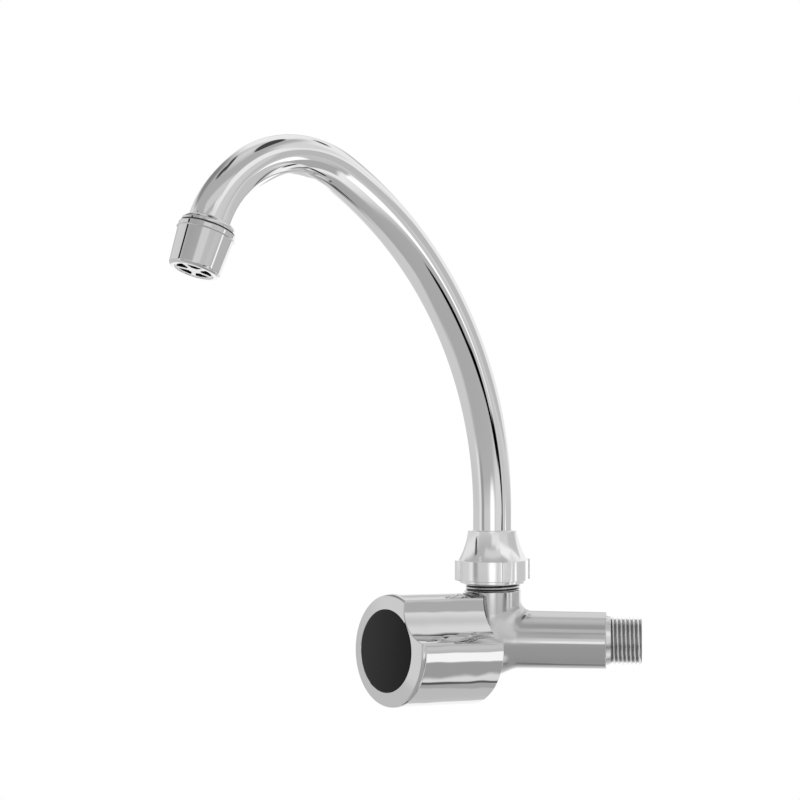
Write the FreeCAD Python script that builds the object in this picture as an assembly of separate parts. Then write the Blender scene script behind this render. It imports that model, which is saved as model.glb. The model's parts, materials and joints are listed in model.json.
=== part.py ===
import FreeCAD, Part
import math
import os

# Wall-mounted kitchen tap with a swinging gooseneck spout and a quarter-turn knob.
# Millimetres, +Z up. The origin is the centre of the inlet thread's free end, and +Y
# runs along the inlet into the wall, so the knob and the spout face the -Y side.

Vector = FreeCAD.Vector

# Clearances between pieces
run_gap = 0.05          # radial gap of a turning fit
slip_gap = 0.3          # gap between pieces that swing past each other
thread_gap = 0.05       # radial gap of a screwed or pushed joint
face_gap = 0.05         # gap between faces that slide on each other

# Inlet pipe and its half-inch pipe thread
inlet_thread_r = 10.4775
inlet_thread_len = 15.5
inlet_runout_rise = 0.7         # how far the run-out stands above the thread
inlet_runout_len = 2.0
inlet_bore_r = 6.5
inlet_pipe_len = 50.3           # from the spout axis to the pipe's shoulder
inlet_pipe_r = 12.9
inlet_pipe_taper = 0.34         # how much thinner the pipe is at its shoulder
inlet_pipe_chamfer = 0.5

# Spout tube, bent in one upright plane
tube_r = 8.8
tube_wall = 1.0
tube_straight_top = 56.8
sweep_r = 164.6
sweep_turn_deg = 60.5
crook_r = 44.9
crook_turn_deg = 99.0

# Spout foot and its rings
foot_bore_r = 6.5
foot_spigot_wall = 2.7
foot_spigot_len = 12.0
foot_flange_height = 2.6
foot_collar_wall = 1.65
foot_collar_len = 5.5
foot_oring_wire_r = 1.1
foot_oring_pitch = 5.0
foot_oring_start = 3.0
ring_height = 0.9               # both slip rings

# Neck that carries the spout
neck_wall = 3.0
neck_step = 0.15                # the plain neck is this much larger than its thread
neck_plain_top = 21.8
neck_top = 34.0
neck_bore_floor = 10.0
neck_fillet = 4.5
flange_inset = 0.6              # the foot's flange is this much smaller than the neck

# Valve branch, which points 45 degrees away from straight ahead and leans up a little
valve_turn_deg = 45.0
valve_rise_deg = 3.0
valve_drop = 3.7                # its axis starts this far below the inlet's
branch_wall = 2.15
branch_len = 31.8
seat_port_r = 3.5
chamber_floor = 9.0
link_port_r = 3.0
link_port_start = 5.0           # distance from the spout axis to the port's upper end
link_port_dip_deg = 48.0
link_port_len = 13.0

# Headwork that screws into the branch
headwork_thread_r = 10.2
headwork_thread_len = 7.5
cage_step = 1.0                 # the cage is this much smaller than the thread
cage_wall = 1.35
gasket_height = 1.2
gasket_inset = 0.4
flange_height = 1.6
hex_flats = 22.0
hex_height = 4.0
nose_wall = 2.2
nose_len = 3.0
window_width = 7.5
window_len = 4.5

# Seat seal and ceramic discs
seal_height = 3.0
seal_bore_r = 4.6
seal_recess = 1.6
fixed_disc_height = 2.6
moving_disc_height = 2.4
disc_rim = 1.8                  # ring left outside the holes
port_inner_r = 1.6
port_angle_deg = 76.0
drive_slot_width = 3.0
drive_slot_depth = 1.1

# Spindle
spindle_r = 5.95
collar_inset = 0.45
collar_height = 1.6
water_room = 1.2                # height of the water space under the collar
washer_height = 0.8
oring_wire_r = 0.9
oring_pitch = 4.0
oring_start = 3.0               # first groove above the thrust washer
clip_height = 0.9
clip_rise = 1.25
clip_groove_depth = 0.8
spline_r = 4.0
spline_depth = 0.4
spline_teeth = 20
screw_hole_depth = 7.5

# Knob
knob_r = 24.6                   # at its back
knob_draft = 0.45               # how much slimmer the casting is at its front
knob_len = 44.2
knob_wall = 2.5
knob_edge_round = 1.8
knob_crown = 1.3                # how far the face rises from its rim to the black disc
flute_r = 20.9
flute_turn_deg = 39.0           # above the level line across the face
flute_ridge_round = 0.5
flute_edge_round = 0.35
flute_margin = 0.6              # ring left between the flute and the black disc
hub_standoff = 0.35
hub_wall = 2.95
hub_len = 8.0
boss_wall = 2.45
boss_floor = 2.0
screw_pocket_r = 6.0
screw_pocket_depth = 3.0
front_plate = 2.5

# Black disc and screw in the knob's face
face_ring = 7.1                 # width of the chrome ring round the disc
cap_height = 3.2
cap_edge_round = 0.5
cap_ledge = 2.4                 # width of the ledge that the disc lies on
screw_r = 1.95
screw_len = 8.5
screw_head_r = 3.8
screw_head_height = 2.2
screw_slot_width = 1.0

# Swivel nut
nut_overlap = 8.9               # how far the nut reaches down over the neck
nut_lip_height = 1.2
nut_lip_wall = 2.35
nut_ring_height = 9.0
nut_ring_wall = 3.15
nut_ribs = 4
nut_rib_width = 3.3
nut_rib_rise = 1.6
nut_rib_round = 0.4
nut_rib_turn_deg = 25.0
nut_bell_inset = 0.2            # the bell's base is this much inside the ring
nut_bell_waist = 2.75           # how far the bell has drawn in at its waist
nut_bell_waist_up = 5.6
nut_bell_len = 13.1
nut_top_wall = 2.0              # wall round the tube at the nut's top
nut_hole_len = 2.6

# Tip ring and flow straightener, measured along the tip from the tube's end
tip_socket_len = 5.0
tip_start_wall = 0.2
tip_shoulder_wall = 2.2
tip_shoulder_len = 1.7
tip_land_len = 1.5
tip_thread_wall = 0.85
tip_thread_len = 7.0
tip_stop = 0.55                 # how far the ring's stop reaches inside the tube's bore
tip_seam = 0.4
housing_step = 0.75             # the housing's top stands out past the tip ring
housing_taper = 1.3
housing_len = 17.9
housing_ridge_start = 1.9       # from the sleeve's top to its thin ridge
housing_ridge_len = 0.5
housing_ridge_rise = 0.5
housing_edge_round = 1.5
housing_lip_len = 1.4
outlet_r = 7.95
insert_gap = 0.2
insert_step = 1.3               # from the insert's flange to its body
insert_wall = 1.3
insert_flange = 1.5
insert_hub_r = 2.3
insert_spokes = 5
insert_spoke_width = 1.7
insert_face = 1.6
insert_recess = 0.9
screen_height = 0.5
screen_inset = 1.85             # from the flange's edge to the screen
screen_hole_r = 0.6
screen_pitch = 3.0
gum_height = 1.6
gum_width = 3.05

# Shared places
spout_axis = Vector(0, -(inlet_pipe_len + inlet_thread_len), 0)
up = Vector(0, 0, 1)


def heading(turn_deg):
    """Level direction turned from straight ahead (-Y) towards +X."""
    turn = math.radians(turn_deg)
    return Vector(math.sin(turn), -math.cos(turn), 0)


def frame_at(base, across, along):
    """Placement whose own Z runs along a piece's axis and own X across it."""
    side = along.cross(across)
    matrix = FreeCAD.Matrix(across.x, side.x, along.x, base.x,
                            across.y, side.y, along.y, base.y,
                            across.z, side.z, along.z, base.z,
                            0, 0, 0, 1)
    return FreeCAD.Placement(matrix)


def valve_frame():
    """Z points out of the valve branch, X is level and to the right of the knob's face."""
    ahead = heading(valve_turn_deg)
    rise = math.radians(valve_rise_deg)
    along = ahead * math.cos(rise) + up * math.sin(rise)
    across = up.cross(ahead)
    return frame_at(spout_axis - up * valve_drop, across, along)


def turned(profile):
    """Solid turned about Z from (height, radius) points. A three-point entry is an arc."""
    edges = []
    last = profile[0]
    for entry in profile[1:] + [profile[0]]:
        if isinstance(entry[0], tuple):
            middle, end = entry
            arc = Part.Arc(Vector(last[1], 0, last[0]), Vector(middle[1], 0, middle[0]),
                           Vector(end[1], 0, end[0]))
            edges.append(arc.toShape())
            last = end
        elif entry != last:
            edges.append(Part.makeLine(Vector(last[1], 0, last[0]),
                                       Vector(entry[1], 0, entry[0])))
            last = entry
    face = Part.Face(Part.Wire(edges))
    return face.revolve(Vector(0, 0, 0), up, 360)


def tube_ring(outer_r, inner_r, bottom, top):
    """Plain ring about Z."""
    outer = Part.makeCylinder(outer_r, top - bottom, Vector(0, 0, bottom))
    return outer.cut(Part.makeCylinder(inner_r, top - bottom, Vector(0, 0, bottom)))


def rubber_ring(centre_r, wire_r, height):
    """O-ring about Z, its round section made of eight flats."""
    half_side = math.radians(22.5)
    corner_r = wire_r / math.cos(half_side)
    section = []
    for corner in range(8):
        angle = half_side * (2 * corner + 1)
        section.append((height + corner_r * math.sin(angle),
                        centre_r + corner_r * math.cos(angle)))
    return turned(section)


def round_corner(corner, start, end, radius):
    """Points of an arc that rounds a square corner of a profile."""
    near = math.sqrt(0.5)
    to_start = ((start[0] - corner[0]), (start[1] - corner[1]))
    to_end = ((end[0] - corner[0]), (end[1] - corner[1]))
    length_a = math.hypot(to_start[0], to_start[1])
    length_b = math.hypot(to_end[0], to_end[1])
    unit_a = (to_start[0] / length_a, to_start[1] / length_a)
    unit_b = (to_end[0] / length_b, to_end[1] / length_b)
    first = (corner[0] + unit_a[0] * radius, corner[1] + unit_a[1] * radius)
    second = (corner[0] + unit_b[0] * radius, corner[1] + unit_b[1] * radius)
    inward = (1 - near) * radius
    middle = (corner[0] + (unit_a[0] + unit_b[0]) * inward,
              corner[1] + (unit_a[1] + unit_b[1]) * inward)
    return first, (middle, second)


def splined_rod(tip_r, depth, teeth, bottom, top):
    """Rod about Z with straight-sided teeth."""
    points = []
    for tooth in range(teeth):
        for share, radius in ((0.0, tip_r - depth), (0.3, tip_r), (0.5, tip_r),
                              (0.8, tip_r - depth)):
            angle = 2 * math.pi * (tooth + share) / teeth
            points.append(Vector(radius * math.cos(angle), radius * math.sin(angle), bottom))
    outline = Part.makePolygon(points + [points[0]])
    return Part.Face(outline).extrude(up * (top - bottom))


def disc_port(bottom, top, turn_deg):
    """Pair of opposite sector holes through a ceramic disc."""
    ports = []
    for half in (0, 180):
        start = turn_deg + half - port_angle_deg / 2
        sector = Part.makeCylinder(port_outer_r, top - bottom, Vector(0, 0, bottom), up,
                                   port_angle_deg)
        core = Part.makeCylinder(port_inner_r, top - bottom, Vector(0, 0, bottom))
        sector.rotate(Vector(0, 0, 0), up, start)
        ports.append(sector.cut(core))
    return ports[0].fuse(ports[1])


# Radii on the valve axis
cage_r = headwork_thread_r - cage_step
cage_bore_r = cage_r - cage_wall
disc_r = cage_bore_r - run_gap
port_outer_r = disc_r - disc_rim
collar_r = cage_bore_r - collar_inset
branch_r = headwork_thread_r + thread_gap + branch_wall
spindle_bore_r = spindle_r + run_gap
nose_r = spindle_bore_r + nose_wall
hub_r = spline_r + thread_gap + hub_wall
boss_r = hub_r + thread_gap + boss_wall
cap_r = knob_r - face_ring
flute_reach = cap_r + flute_margin + flute_r        # knob axis to the flute's own axis

# Heights along the valve axis, from the spout axis outwards
cage_bottom = chamber_floor + seal_height - seal_recess
fixed_disc_bottom = chamber_floor + seal_height
moving_disc_bottom = fixed_disc_bottom + fixed_disc_height + face_gap
moving_disc_top = moving_disc_bottom + moving_disc_height
collar_bottom = moving_disc_top + water_room
collar_top = collar_bottom + collar_height
washer_top = collar_top + washer_height
cage_bore_top = washer_top + face_gap
headwork_thread_bottom = branch_len - headwork_thread_len
flange_bottom = branch_len + gasket_height
hex_bottom = flange_bottom + flange_height
hex_top = hex_bottom + hex_height
nose_top = hex_top + nose_len
clip_bottom = nose_top + face_gap
clip_top = clip_bottom + clip_height
journal_top = clip_top + clip_height
hub_bottom = journal_top + hub_standoff
hub_top = hub_bottom + hub_len
spindle_top = hub_top - slip_gap
pocket_floor = hub_top + boss_floor
cap_bottom = pocket_floor + screw_pocket_depth
cap_top = cap_bottom + cap_height
knob_front = cap_top - knob_crown
knob_back = knob_front - knob_len
cavity_top = cap_bottom - front_plate

# Radii on the spout axis
foot_spigot_r = foot_bore_r + foot_spigot_wall
neck_bore_r = foot_spigot_r + slip_gap
neck_thread_r = neck_bore_r + neck_wall
neck_r = neck_thread_r + neck_step
foot_flange_r = neck_thread_r - flange_inset
foot_collar_r = tube_r + foot_collar_wall
nut_thread_r = neck_thread_r + thread_gap
nut_lip_r = nut_thread_r + nut_lip_wall
nut_ring_r = nut_thread_r + nut_ring_wall
nut_hole_r = tube_r + slip_gap

# Heights on the spout axis
foot_flange_bottom = neck_top + ring_height
foot_flange_top = foot_flange_bottom + foot_flange_height
nut_shoulder = foot_flange_top + face_gap + ring_height
foot_collar_top = nut_shoulder + foot_collar_len
nut_lip_bottom = neck_top - nut_overlap
nut_ring_bottom = nut_lip_bottom + nut_lip_height
nut_bell_bottom = nut_ring_bottom + nut_ring_height
nut_top = nut_bell_bottom + nut_bell_len

# Radii and heights along the spout's tip
tip_shoulder_r = tube_r + tip_shoulder_wall
tip_thread_r = tube_r + tip_thread_wall
tip_bore_r = tube_r - tube_wall - tip_stop
housing_top_r = tip_shoulder_r + housing_step
housing_bore_r = tip_thread_r + thread_gap
insert_r = housing_bore_r - insert_gap
insert_body_r = insert_r - insert_step
screen_r = insert_r - screen_inset
tip_land_top = tip_shoulder_len + tip_land_len
housing_start = tip_land_top + tip_seam
housing_end = housing_start + housing_len
tip_ring_end = housing_start + tip_thread_len
gum_end = tip_ring_end + gum_height
insert_end = housing_end - housing_lip_len


def make_body():
    """Brass casting: inlet pipe, neck and valve branch round one ball, with its waterways."""
    end = inlet_pipe_len + inlet_thread_len
    shoulder_r = inlet_pipe_r - inlet_pipe_taper
    dome = inlet_pipe_r * math.sqrt(0.5)
    profile = [(end, 0), (end, inlet_thread_r),
               (inlet_pipe_len + inlet_runout_len, inlet_thread_r),
               (inlet_pipe_len, inlet_thread_r + inlet_runout_rise),
               (inlet_pipe_len, shoulder_r - inlet_pipe_chamfer),
               (inlet_pipe_len - inlet_pipe_chamfer, shoulder_r),
               (0, inlet_pipe_r), ((-dome, dome), (-inlet_pipe_r, 0))]
    pipe = turned(profile)
    pipe.Placement = frame_at(spout_axis, Vector(1, 0, 0), Vector(0, 1, 0))
    neck = Part.makeCylinder(neck_r, neck_plain_top, spout_axis)
    casting = pipe.fuse(neck).removeSplitter()
    crease = []
    for edge in casting.Edges:
        box = edge.BoundBox
        low_enough = box.ZMax < inlet_pipe_r + 1 and box.ZMin > 0.5
        if low_enough and box.XLength > neck_r and box.YMax > spout_axis.y + 1:
            crease.append(edge)
    casting = casting.makeFillet(neck_fillet, crease)

    thread_height = neck_top - neck_plain_top
    thread = Part.makeCylinder(neck_thread_r, thread_height,
                               spout_axis + up * neck_plain_top)
    place = valve_frame()
    branch = Part.makeCylinder(branch_r, branch_len)
    branch.Placement = place
    root = Part.makeSphere(branch_r, place.Base)
    casting = casting.fuse([thread, branch, root])

    inlet_bore = Part.makeCylinder(inlet_bore_r, end, spout_axis, Vector(0, 1, 0))
    neck_bore = Part.makeCylinder(neck_bore_r, neck_top - neck_bore_floor,
                                  spout_axis + up * neck_bore_floor)
    seat_port = Part.makeCylinder(seat_port_r, chamber_floor)
    chamber = Part.makeCylinder(cage_r + slip_gap, branch_len - chamber_floor,
                                Vector(0, 0, chamber_floor))
    thread_bore = Part.makeCylinder(headwork_thread_r + thread_gap, headwork_thread_len,
                                    Vector(0, 0, headwork_thread_bottom))
    for hollow in (seat_port, chamber, thread_bore):
        hollow.Placement = place
    dip = math.radians(link_port_dip_deg)
    ahead = heading(valve_turn_deg)
    link_axis = ahead * math.cos(dip) - up * math.sin(dip)
    link_start = spout_axis + ahead * link_port_start + up * (neck_bore_floor + 1)
    link_port = Part.makeCylinder(link_port_r, link_port_len, link_start, link_axis)
    return casting.cut([inlet_bore, neck_bore, seat_port, chamber, thread_bore, link_port])


def make_swivel_nut():
    """Bell nut with four raised grips, screwed on the neck over the spout's foot."""
    room_r = foot_flange_r + slip_gap
    collar_room_r = foot_collar_r + slip_gap
    thread_top = neck_top + slip_gap
    bell_base_r = nut_ring_r - nut_bell_inset
    waist = nut_bell_bottom + nut_bell_waist_up
    inside = [(nut_top, nut_hole_r), (nut_top - nut_hole_len, nut_hole_r),
              (foot_collar_top + slip_gap, collar_room_r),
              (nut_shoulder, collar_room_r), (nut_shoulder, room_r),
              (thread_top, room_r), (thread_top, nut_thread_r),
              (nut_lip_bottom, nut_thread_r)]
    outside = [(nut_lip_bottom, nut_lip_r), (nut_ring_bottom, nut_lip_r),
               (nut_ring_bottom, nut_ring_r), (nut_bell_bottom, nut_ring_r),
               (nut_bell_bottom, bell_base_r),
               ((waist, bell_base_r - nut_bell_waist), (nut_top, nut_hole_r + nut_top_wall))]
    nut = turned(inside + outside)
    grip = nut_ring_r + nut_rib_rise
    root = (nut_lip_r + nut_ring_r) / 2
    for index in range(nut_ribs):
        rib = Part.makeBox(grip - root, nut_rib_width, nut_ring_height,
                           Vector(root, -nut_rib_width / 2, nut_ring_bottom))
        corners = [edge for edge in rib.Edges
                   if edge.BoundBox.XMin > grip - run_gap and edge.BoundBox.ZLength > 1]
        rib = rib.makeFillet(nut_rib_round, corners)
        rib.rotate(Vector(0, 0, 0), up, nut_rib_turn_deg + index * 360 / nut_ribs)
        nut = nut.fuse(rib)
    nut.translate(spout_axis)
    return nut


def make_neck_slip_ring():
    """Plastic ring that the spout's foot turns on."""
    ring = tube_ring(foot_flange_r, foot_spigot_r + slip_gap, neck_top,
                     foot_flange_bottom - face_gap)
    ring.translate(spout_axis)
    return ring


def make_nut_slip_ring():
    """Plastic ring between the foot's flange and the nut."""
    ring = tube_ring(foot_flange_r, foot_collar_r + slip_gap,
                     foot_flange_top + face_gap, nut_shoulder)
    ring.translate(spout_axis)
    return ring


def make_cartridge_body():
    """Headwork: cage for the discs, thread, hexagon and nose."""
    profile = [(cage_bottom, cage_bore_r), (cage_bottom, cage_r),
               (headwork_thread_bottom, cage_r), (headwork_thread_bottom, headwork_thread_r),
               (flange_bottom, headwork_thread_r), (flange_bottom, branch_r),
               (hex_bottom, branch_r), (hex_bottom, nose_r), (nose_top, nose_r),
               (nose_top, spindle_bore_r), (cage_bore_top, spindle_bore_r),
               (cage_bore_top, cage_bore_r)]
    headwork = turned(profile)
    corners = []
    for corner in range(7):
        angle = math.radians(60 * corner)
        corners.append(Vector(math.cos(angle), math.sin(angle), 0)
                       * (hex_flats / math.sqrt(3)) + up * hex_bottom)
    hexagon = Part.Face(Part.makePolygon(corners)).extrude(up * hex_height)
    hexagon = hexagon.cut(Part.makeCylinder(nose_r, hex_height, Vector(0, 0, hex_bottom)))
    headwork = headwork.fuse(hexagon)
    window = Part.makeBox(4 * cage_r, window_width, window_len,
                          Vector(-2 * cage_r, -window_width / 2,
                                 cage_bore_top - window_len - washer_height))
    headwork = headwork.cut(window)
    headwork.Placement = valve_frame()
    return headwork


def make_cartridge_gasket():
    """Fibre washer between the headwork's flange and the branch."""
    gasket = tube_ring(branch_r - gasket_inset, headwork_thread_r + thread_gap, branch_len,
                       flange_bottom)
    gasket.Placement = valve_frame()
    return gasket


def make_seat_seal():
    """Rubber ring that the headwork presses on the seat."""
    seal = tube_ring(cage_bore_r - thread_gap, seal_bore_r, chamber_floor, fixed_disc_bottom)
    seal.Placement = valve_frame()
    return seal


def make_fixed_disc():
    """Ceramic disc with two sector holes, held still in the cage."""
    top = fixed_disc_bottom + fixed_disc_height
    disc = Part.makeCylinder(disc_r, fixed_disc_height, Vector(0, 0, fixed_disc_bottom))
    disc = disc.cut(disc_port(fixed_disc_bottom, top, 0))
    disc.Placement = valve_frame()
    return disc


def make_moving_disc():
    """Ceramic disc turned by the spindle. Its holes are a quarter turn off when shut."""
    disc = Part.makeCylinder(disc_r, moving_disc_height, Vector(0, 0, moving_disc_bottom))
    disc = disc.cut(disc_port(moving_disc_bottom, moving_disc_top, 90))
    slot = Part.makeBox(4 * disc_r, drive_slot_width, drive_slot_depth,
                        Vector(-2 * disc_r, -drive_slot_width / 2,
                               moving_disc_top - drive_slot_depth))
    disc = disc.cut(slot)
    disc.Placement = valve_frame()
    return disc


def make_spindle():
    """Spindle: driving bar, collar, grooved journal, splines and a tapped end."""
    groove_r = spindle_bore_r - run_gap - 2 * oring_wire_r
    clip_seat_r = spindle_r - clip_groove_depth
    profile = [(collar_bottom, 0), (collar_bottom, collar_r), (collar_top, collar_r),
               (collar_top, spindle_r)]
    for ring in range(2):
        middle = washer_top + oring_start + ring * oring_pitch
        half = oring_wire_r + run_gap
        profile += [(middle - half, spindle_r), (middle - half, groove_r),
                    (middle + half, groove_r), (middle + half, spindle_r)]
    profile += [(clip_bottom, spindle_r), (clip_bottom, clip_seat_r),
                (clip_top, clip_seat_r), (clip_top, spindle_r),
                (journal_top, spindle_r), (journal_top, 0)]
    spindle = turned(profile)
    bar_bottom = moving_disc_top - drive_slot_depth + face_gap
    bar_width = drive_slot_width - 2 * thread_gap
    bar = Part.makeBox(2 * port_outer_r, bar_width, collar_bottom - bar_bottom,
                       Vector(-port_outer_r, -bar_width / 2, bar_bottom))
    splines = splined_rod(spline_r, spline_depth, spline_teeth, journal_top, spindle_top)
    spindle = spindle.fuse([bar, splines])
    hole = Part.makeCylinder(screw_r + thread_gap, screw_hole_depth,
                             Vector(0, 0, spindle_top - screw_hole_depth))
    spindle = spindle.cut(hole)
    spindle.Placement = valve_frame()
    return spindle


def make_spindle_orings():
    """Two rubber rings in the spindle's grooves."""
    rings = []
    for ring in range(2):
        height = washer_top + oring_start + ring * oring_pitch
        rings.append(rubber_ring(spindle_bore_r - run_gap / 2 - oring_wire_r, oring_wire_r,
                                 height))
    pair = Part.makeCompound(rings)
    pair.Placement = valve_frame()
    return pair


def make_thrust_washer():
    """Plastic washer between the spindle's collar and the cage."""
    washer = tube_ring(collar_r, spindle_r + thread_gap, collar_top, washer_top)
    washer.Placement = valve_frame()
    return washer


def make_spindle_circlip():
    """Open steel clip in the spindle's outer groove."""
    seat_r = spindle_r - clip_groove_depth
    clip_r = spindle_r + clip_rise
    clip = tube_ring(clip_r, seat_r, clip_bottom, clip_top)
    mouth = Part.makeBox(2 * clip_r, seat_r, clip_height,
                         Vector(0, -seat_r / 2, clip_bottom))
    clip = clip.cut(mouth)
    clip.Placement = valve_frame()
    return clip


def fluted_outline(height):
    """Round outline with one thumb flute, its two ridges rounded."""
    ridge = flute_ridge_round
    ridge_x = (((knob_r - ridge) ** 2 + flute_reach ** 2 - (flute_r + ridge) ** 2)
               / (2 * flute_reach))
    ridge_y = math.sqrt((knob_r - ridge) ** 2 - ridge_x ** 2)
    centre = Vector(flute_reach, 0, 0)
    corners = []
    for side in (1, -1):
        middle = Vector(ridge_x, side * ridge_y, 0)
        outer = middle * (knob_r / (knob_r - ridge))
        inner = centre + (middle - centre) * (flute_r / (flute_r + ridge))
        out = (middle - Vector(flute_reach / 2, 0, 0)).normalize()
        corners.append((outer, middle + out * ridge, inner))
    (outer_a, tip_a, inner_a), (outer_b, tip_b, inner_b) = corners
    edges = [Part.Arc(outer_a, Vector(-knob_r, 0, 0), outer_b).toShape(),
             Part.Arc(outer_b, tip_b, inner_b).toShape(),
             Part.Arc(inner_b, Vector(flute_reach - flute_r, 0, 0), inner_a).toShape(),
             Part.Arc(inner_a, tip_a, outer_a).toShape()]
    outline = Part.Wire(edges)
    outline.rotate(Vector(0, 0, 0), up, flute_turn_deg)
    outline.translate(up * height)
    return outline


def make_knob_shell():
    """Chromed cup with a crowned face, one thumb flute and a boss for the hub."""
    seat_r = cap_r + thread_gap
    back = (knob_back, knob_r)
    front = (knob_front, knob_r - knob_draft)
    start, arc = round_corner(front, back, (knob_front, 0), knob_edge_round)
    cavity_r = knob_r - knob_wall
    outside = [(knob_back, 0), back, start, arc, (cap_top, seat_r + slip_gap),
               (cap_top, seat_r), (cap_bottom, seat_r), (cap_bottom, 0)]
    length = cap_top - knob_back
    outline = fluted_outline(knob_back)
    knob = turned(outside).common(Part.Face(outline).extrude(up * length))
    turn = math.radians(flute_turn_deg)
    low = Vector(math.cos(turn), math.sin(turn), 0) * flute_reach + up * knob_back
    softened = flute_r + flute_edge_round
    flare_start = length - flute_edge_round - knob_crown / 2
    flare_mid = flute_r + flute_edge_round * (1 - math.sqrt(0.5))
    flare = turned([(flare_start, 0), (flare_start, flute_r),
                    ((flare_start + flute_edge_round * math.sqrt(0.5), flare_mid),
                     (flare_start + flute_edge_round, softened)),
                    (length, softened), (length, 0)])
    flare.translate(low)
    knob = knob.cut(flare)

    cavity = Part.makeCylinder(cavity_r, cavity_top - knob_back, Vector(0, 0, knob_back))
    flute_wall = Part.makeCylinder(flute_r + knob_wall, length, low)
    boss = Part.makeCylinder(boss_r, cavity_top - hub_bottom, Vector(0, 0, hub_bottom))
    cavity = cavity.cut([flute_wall, boss])
    socket = Part.makeCylinder(hub_r + thread_gap, hub_len, Vector(0, 0, hub_bottom))
    pocket = Part.makeCylinder(screw_pocket_r, screw_pocket_depth, Vector(0, 0, pocket_floor))
    screw_hole = Part.makeCylinder(screw_r + slip_gap, boss_floor, Vector(0, 0, hub_top))
    recess = Part.makeCylinder(cap_r - cap_ledge, front_plate / 2,
                               Vector(0, 0, cap_bottom - front_plate / 2))
    knob = knob.cut([cavity, socket, pocket, screw_hole, recess])
    knob.Placement = valve_frame()
    return knob


def make_knob_hub():
    """Splined plastic insert between the spindle and the knob's boss."""
    hub = Part.makeCylinder(hub_r, hub_len, Vector(0, 0, hub_bottom))
    hub = hub.cut(splined_rod(spline_r + thread_gap, spline_depth, spline_teeth,
                              hub_bottom, hub_top))
    hub.Placement = valve_frame()
    return hub


def make_knob_cap():
    """Glossy black disc pressed into the knob's face."""
    start, arc = round_corner((cap_top, cap_r), (cap_bottom, cap_r), (cap_top, 0),
                              cap_edge_round)
    cap = turned([(cap_bottom, 0), (cap_bottom, cap_r), start, arc, (cap_top, 0)])
    cap.Placement = valve_frame()
    return cap


def make_knob_screw():
    """Pan-head screw through the knob into the spindle."""
    head_top = pocket_floor + screw_head_height
    round_size = screw_head_height / 2
    start, arc = round_corner((head_top, screw_head_r), (pocket_floor, screw_head_r),
                              (head_top, 0), round_size)
    screw = turned([(pocket_floor - screw_len, 0), (pocket_floor - screw_len, screw_r),
                    (pocket_floor, screw_r), (pocket_floor, screw_head_r), start, arc,
                    (head_top, 0)])
    for turn in (0, 90):
        slot = Part.makeBox(screw_head_r, screw_slot_width, round_size,
                            Vector(-screw_head_r / 2, -screw_slot_width / 2,
                                   head_top - round_size))
        slot.rotate(Vector(0, 0, 0), up, turn)
        screw = screw.cut(slot)
    screw.Placement = valve_frame()
    return screw


def spout_path():
    """Centre line of the tube as (distance ahead, height) marks: two arcs on a straight."""
    sweep = math.radians(sweep_turn_deg)
    total = math.radians(sweep_turn_deg + crook_turn_deg)
    first_centre = (sweep_r, tube_straight_top)
    inset = sweep_r - crook_r
    second_centre = (first_centre[0] - inset * math.cos(sweep),
                     first_centre[1] + inset * math.sin(sweep))

    def on_arc(centre, radius, angle):
        return (centre[0] - radius * math.cos(angle), centre[1] + radius * math.sin(angle))

    middle = (sweep + total) / 2
    return {"foot": (0, foot_flange_top), "bend": (0, tube_straight_top),
            "sweep_middle": on_arc(first_centre, sweep_r, sweep / 2),
            "sweep_end": on_arc(first_centre, sweep_r, sweep),
            "crook_middle": on_arc(second_centre, crook_r, middle),
            "tip": on_arc(second_centre, crook_r, total)}


def in_spout_plane(mark):
    """Point of the row frame for a (distance ahead, height) mark."""
    return spout_axis + heading(valve_turn_deg) * mark[0] + up * mark[1]


def tip_frame():
    """Z runs out of the tube's tip, X is level across the spout."""
    lean = math.radians(180 - sweep_turn_deg - crook_turn_deg)
    ahead = heading(valve_turn_deg)
    along = ahead * math.sin(lean) - up * math.cos(lean)
    across = up.cross(ahead)
    return frame_at(in_spout_plane(spout_path()["tip"]), across, along)


def make_spout_tube():
    """Brass tube bent through a long sweep and a tight crook."""
    marks = {name: in_spout_plane(mark) for name, mark in spout_path().items()}
    straight = Part.makeLine(marks["foot"], marks["bend"])
    sweep = Part.Arc(marks["bend"], marks["sweep_middle"], marks["sweep_end"]).toShape()
    crook = Part.Arc(marks["sweep_end"], marks["crook_middle"], marks["tip"]).toShape()
    along = tip_frame().Rotation.multVec(up)
    socketed = Part.makeLine(marks["tip"], marks["tip"] + along * tip_socket_len)
    spine = Part.Wire([straight, sweep, crook, socketed])
    skins = []
    for radius in (tube_r, tube_r - tube_wall):
        circle = Part.Wire([Part.makeCircle(radius, marks["foot"], up)])
        skins.append(spine.makePipeShell([circle], True, False))
    return skins[0].cut(skins[1])


def make_spout_foot():
    """Turned ferrule brazed on the tube: grooved spigot, flange and collar."""
    bottom = foot_flange_bottom - foot_spigot_len
    groove_r = foot_spigot_r + slip_gap - run_gap - 2 * foot_oring_wire_r
    profile = [(bottom, foot_bore_r), (bottom, foot_spigot_r)]
    for ring in range(2):
        middle = bottom + foot_oring_start + ring * foot_oring_pitch
        half = foot_oring_wire_r + run_gap
        profile += [(middle - half, foot_spigot_r), (middle - half, groove_r),
                    (middle + half, groove_r), (middle + half, foot_spigot_r)]
    profile += [(foot_flange_bottom, foot_spigot_r), (foot_flange_bottom, foot_flange_r),
                (foot_flange_top, foot_flange_r), (foot_flange_top, foot_collar_r),
                (foot_collar_top, foot_collar_r), (foot_collar_top, tube_r),
                (foot_flange_top, tube_r), (foot_flange_top, foot_bore_r)]
    foot = turned(profile)
    foot.translate(spout_axis)
    return foot


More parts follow.
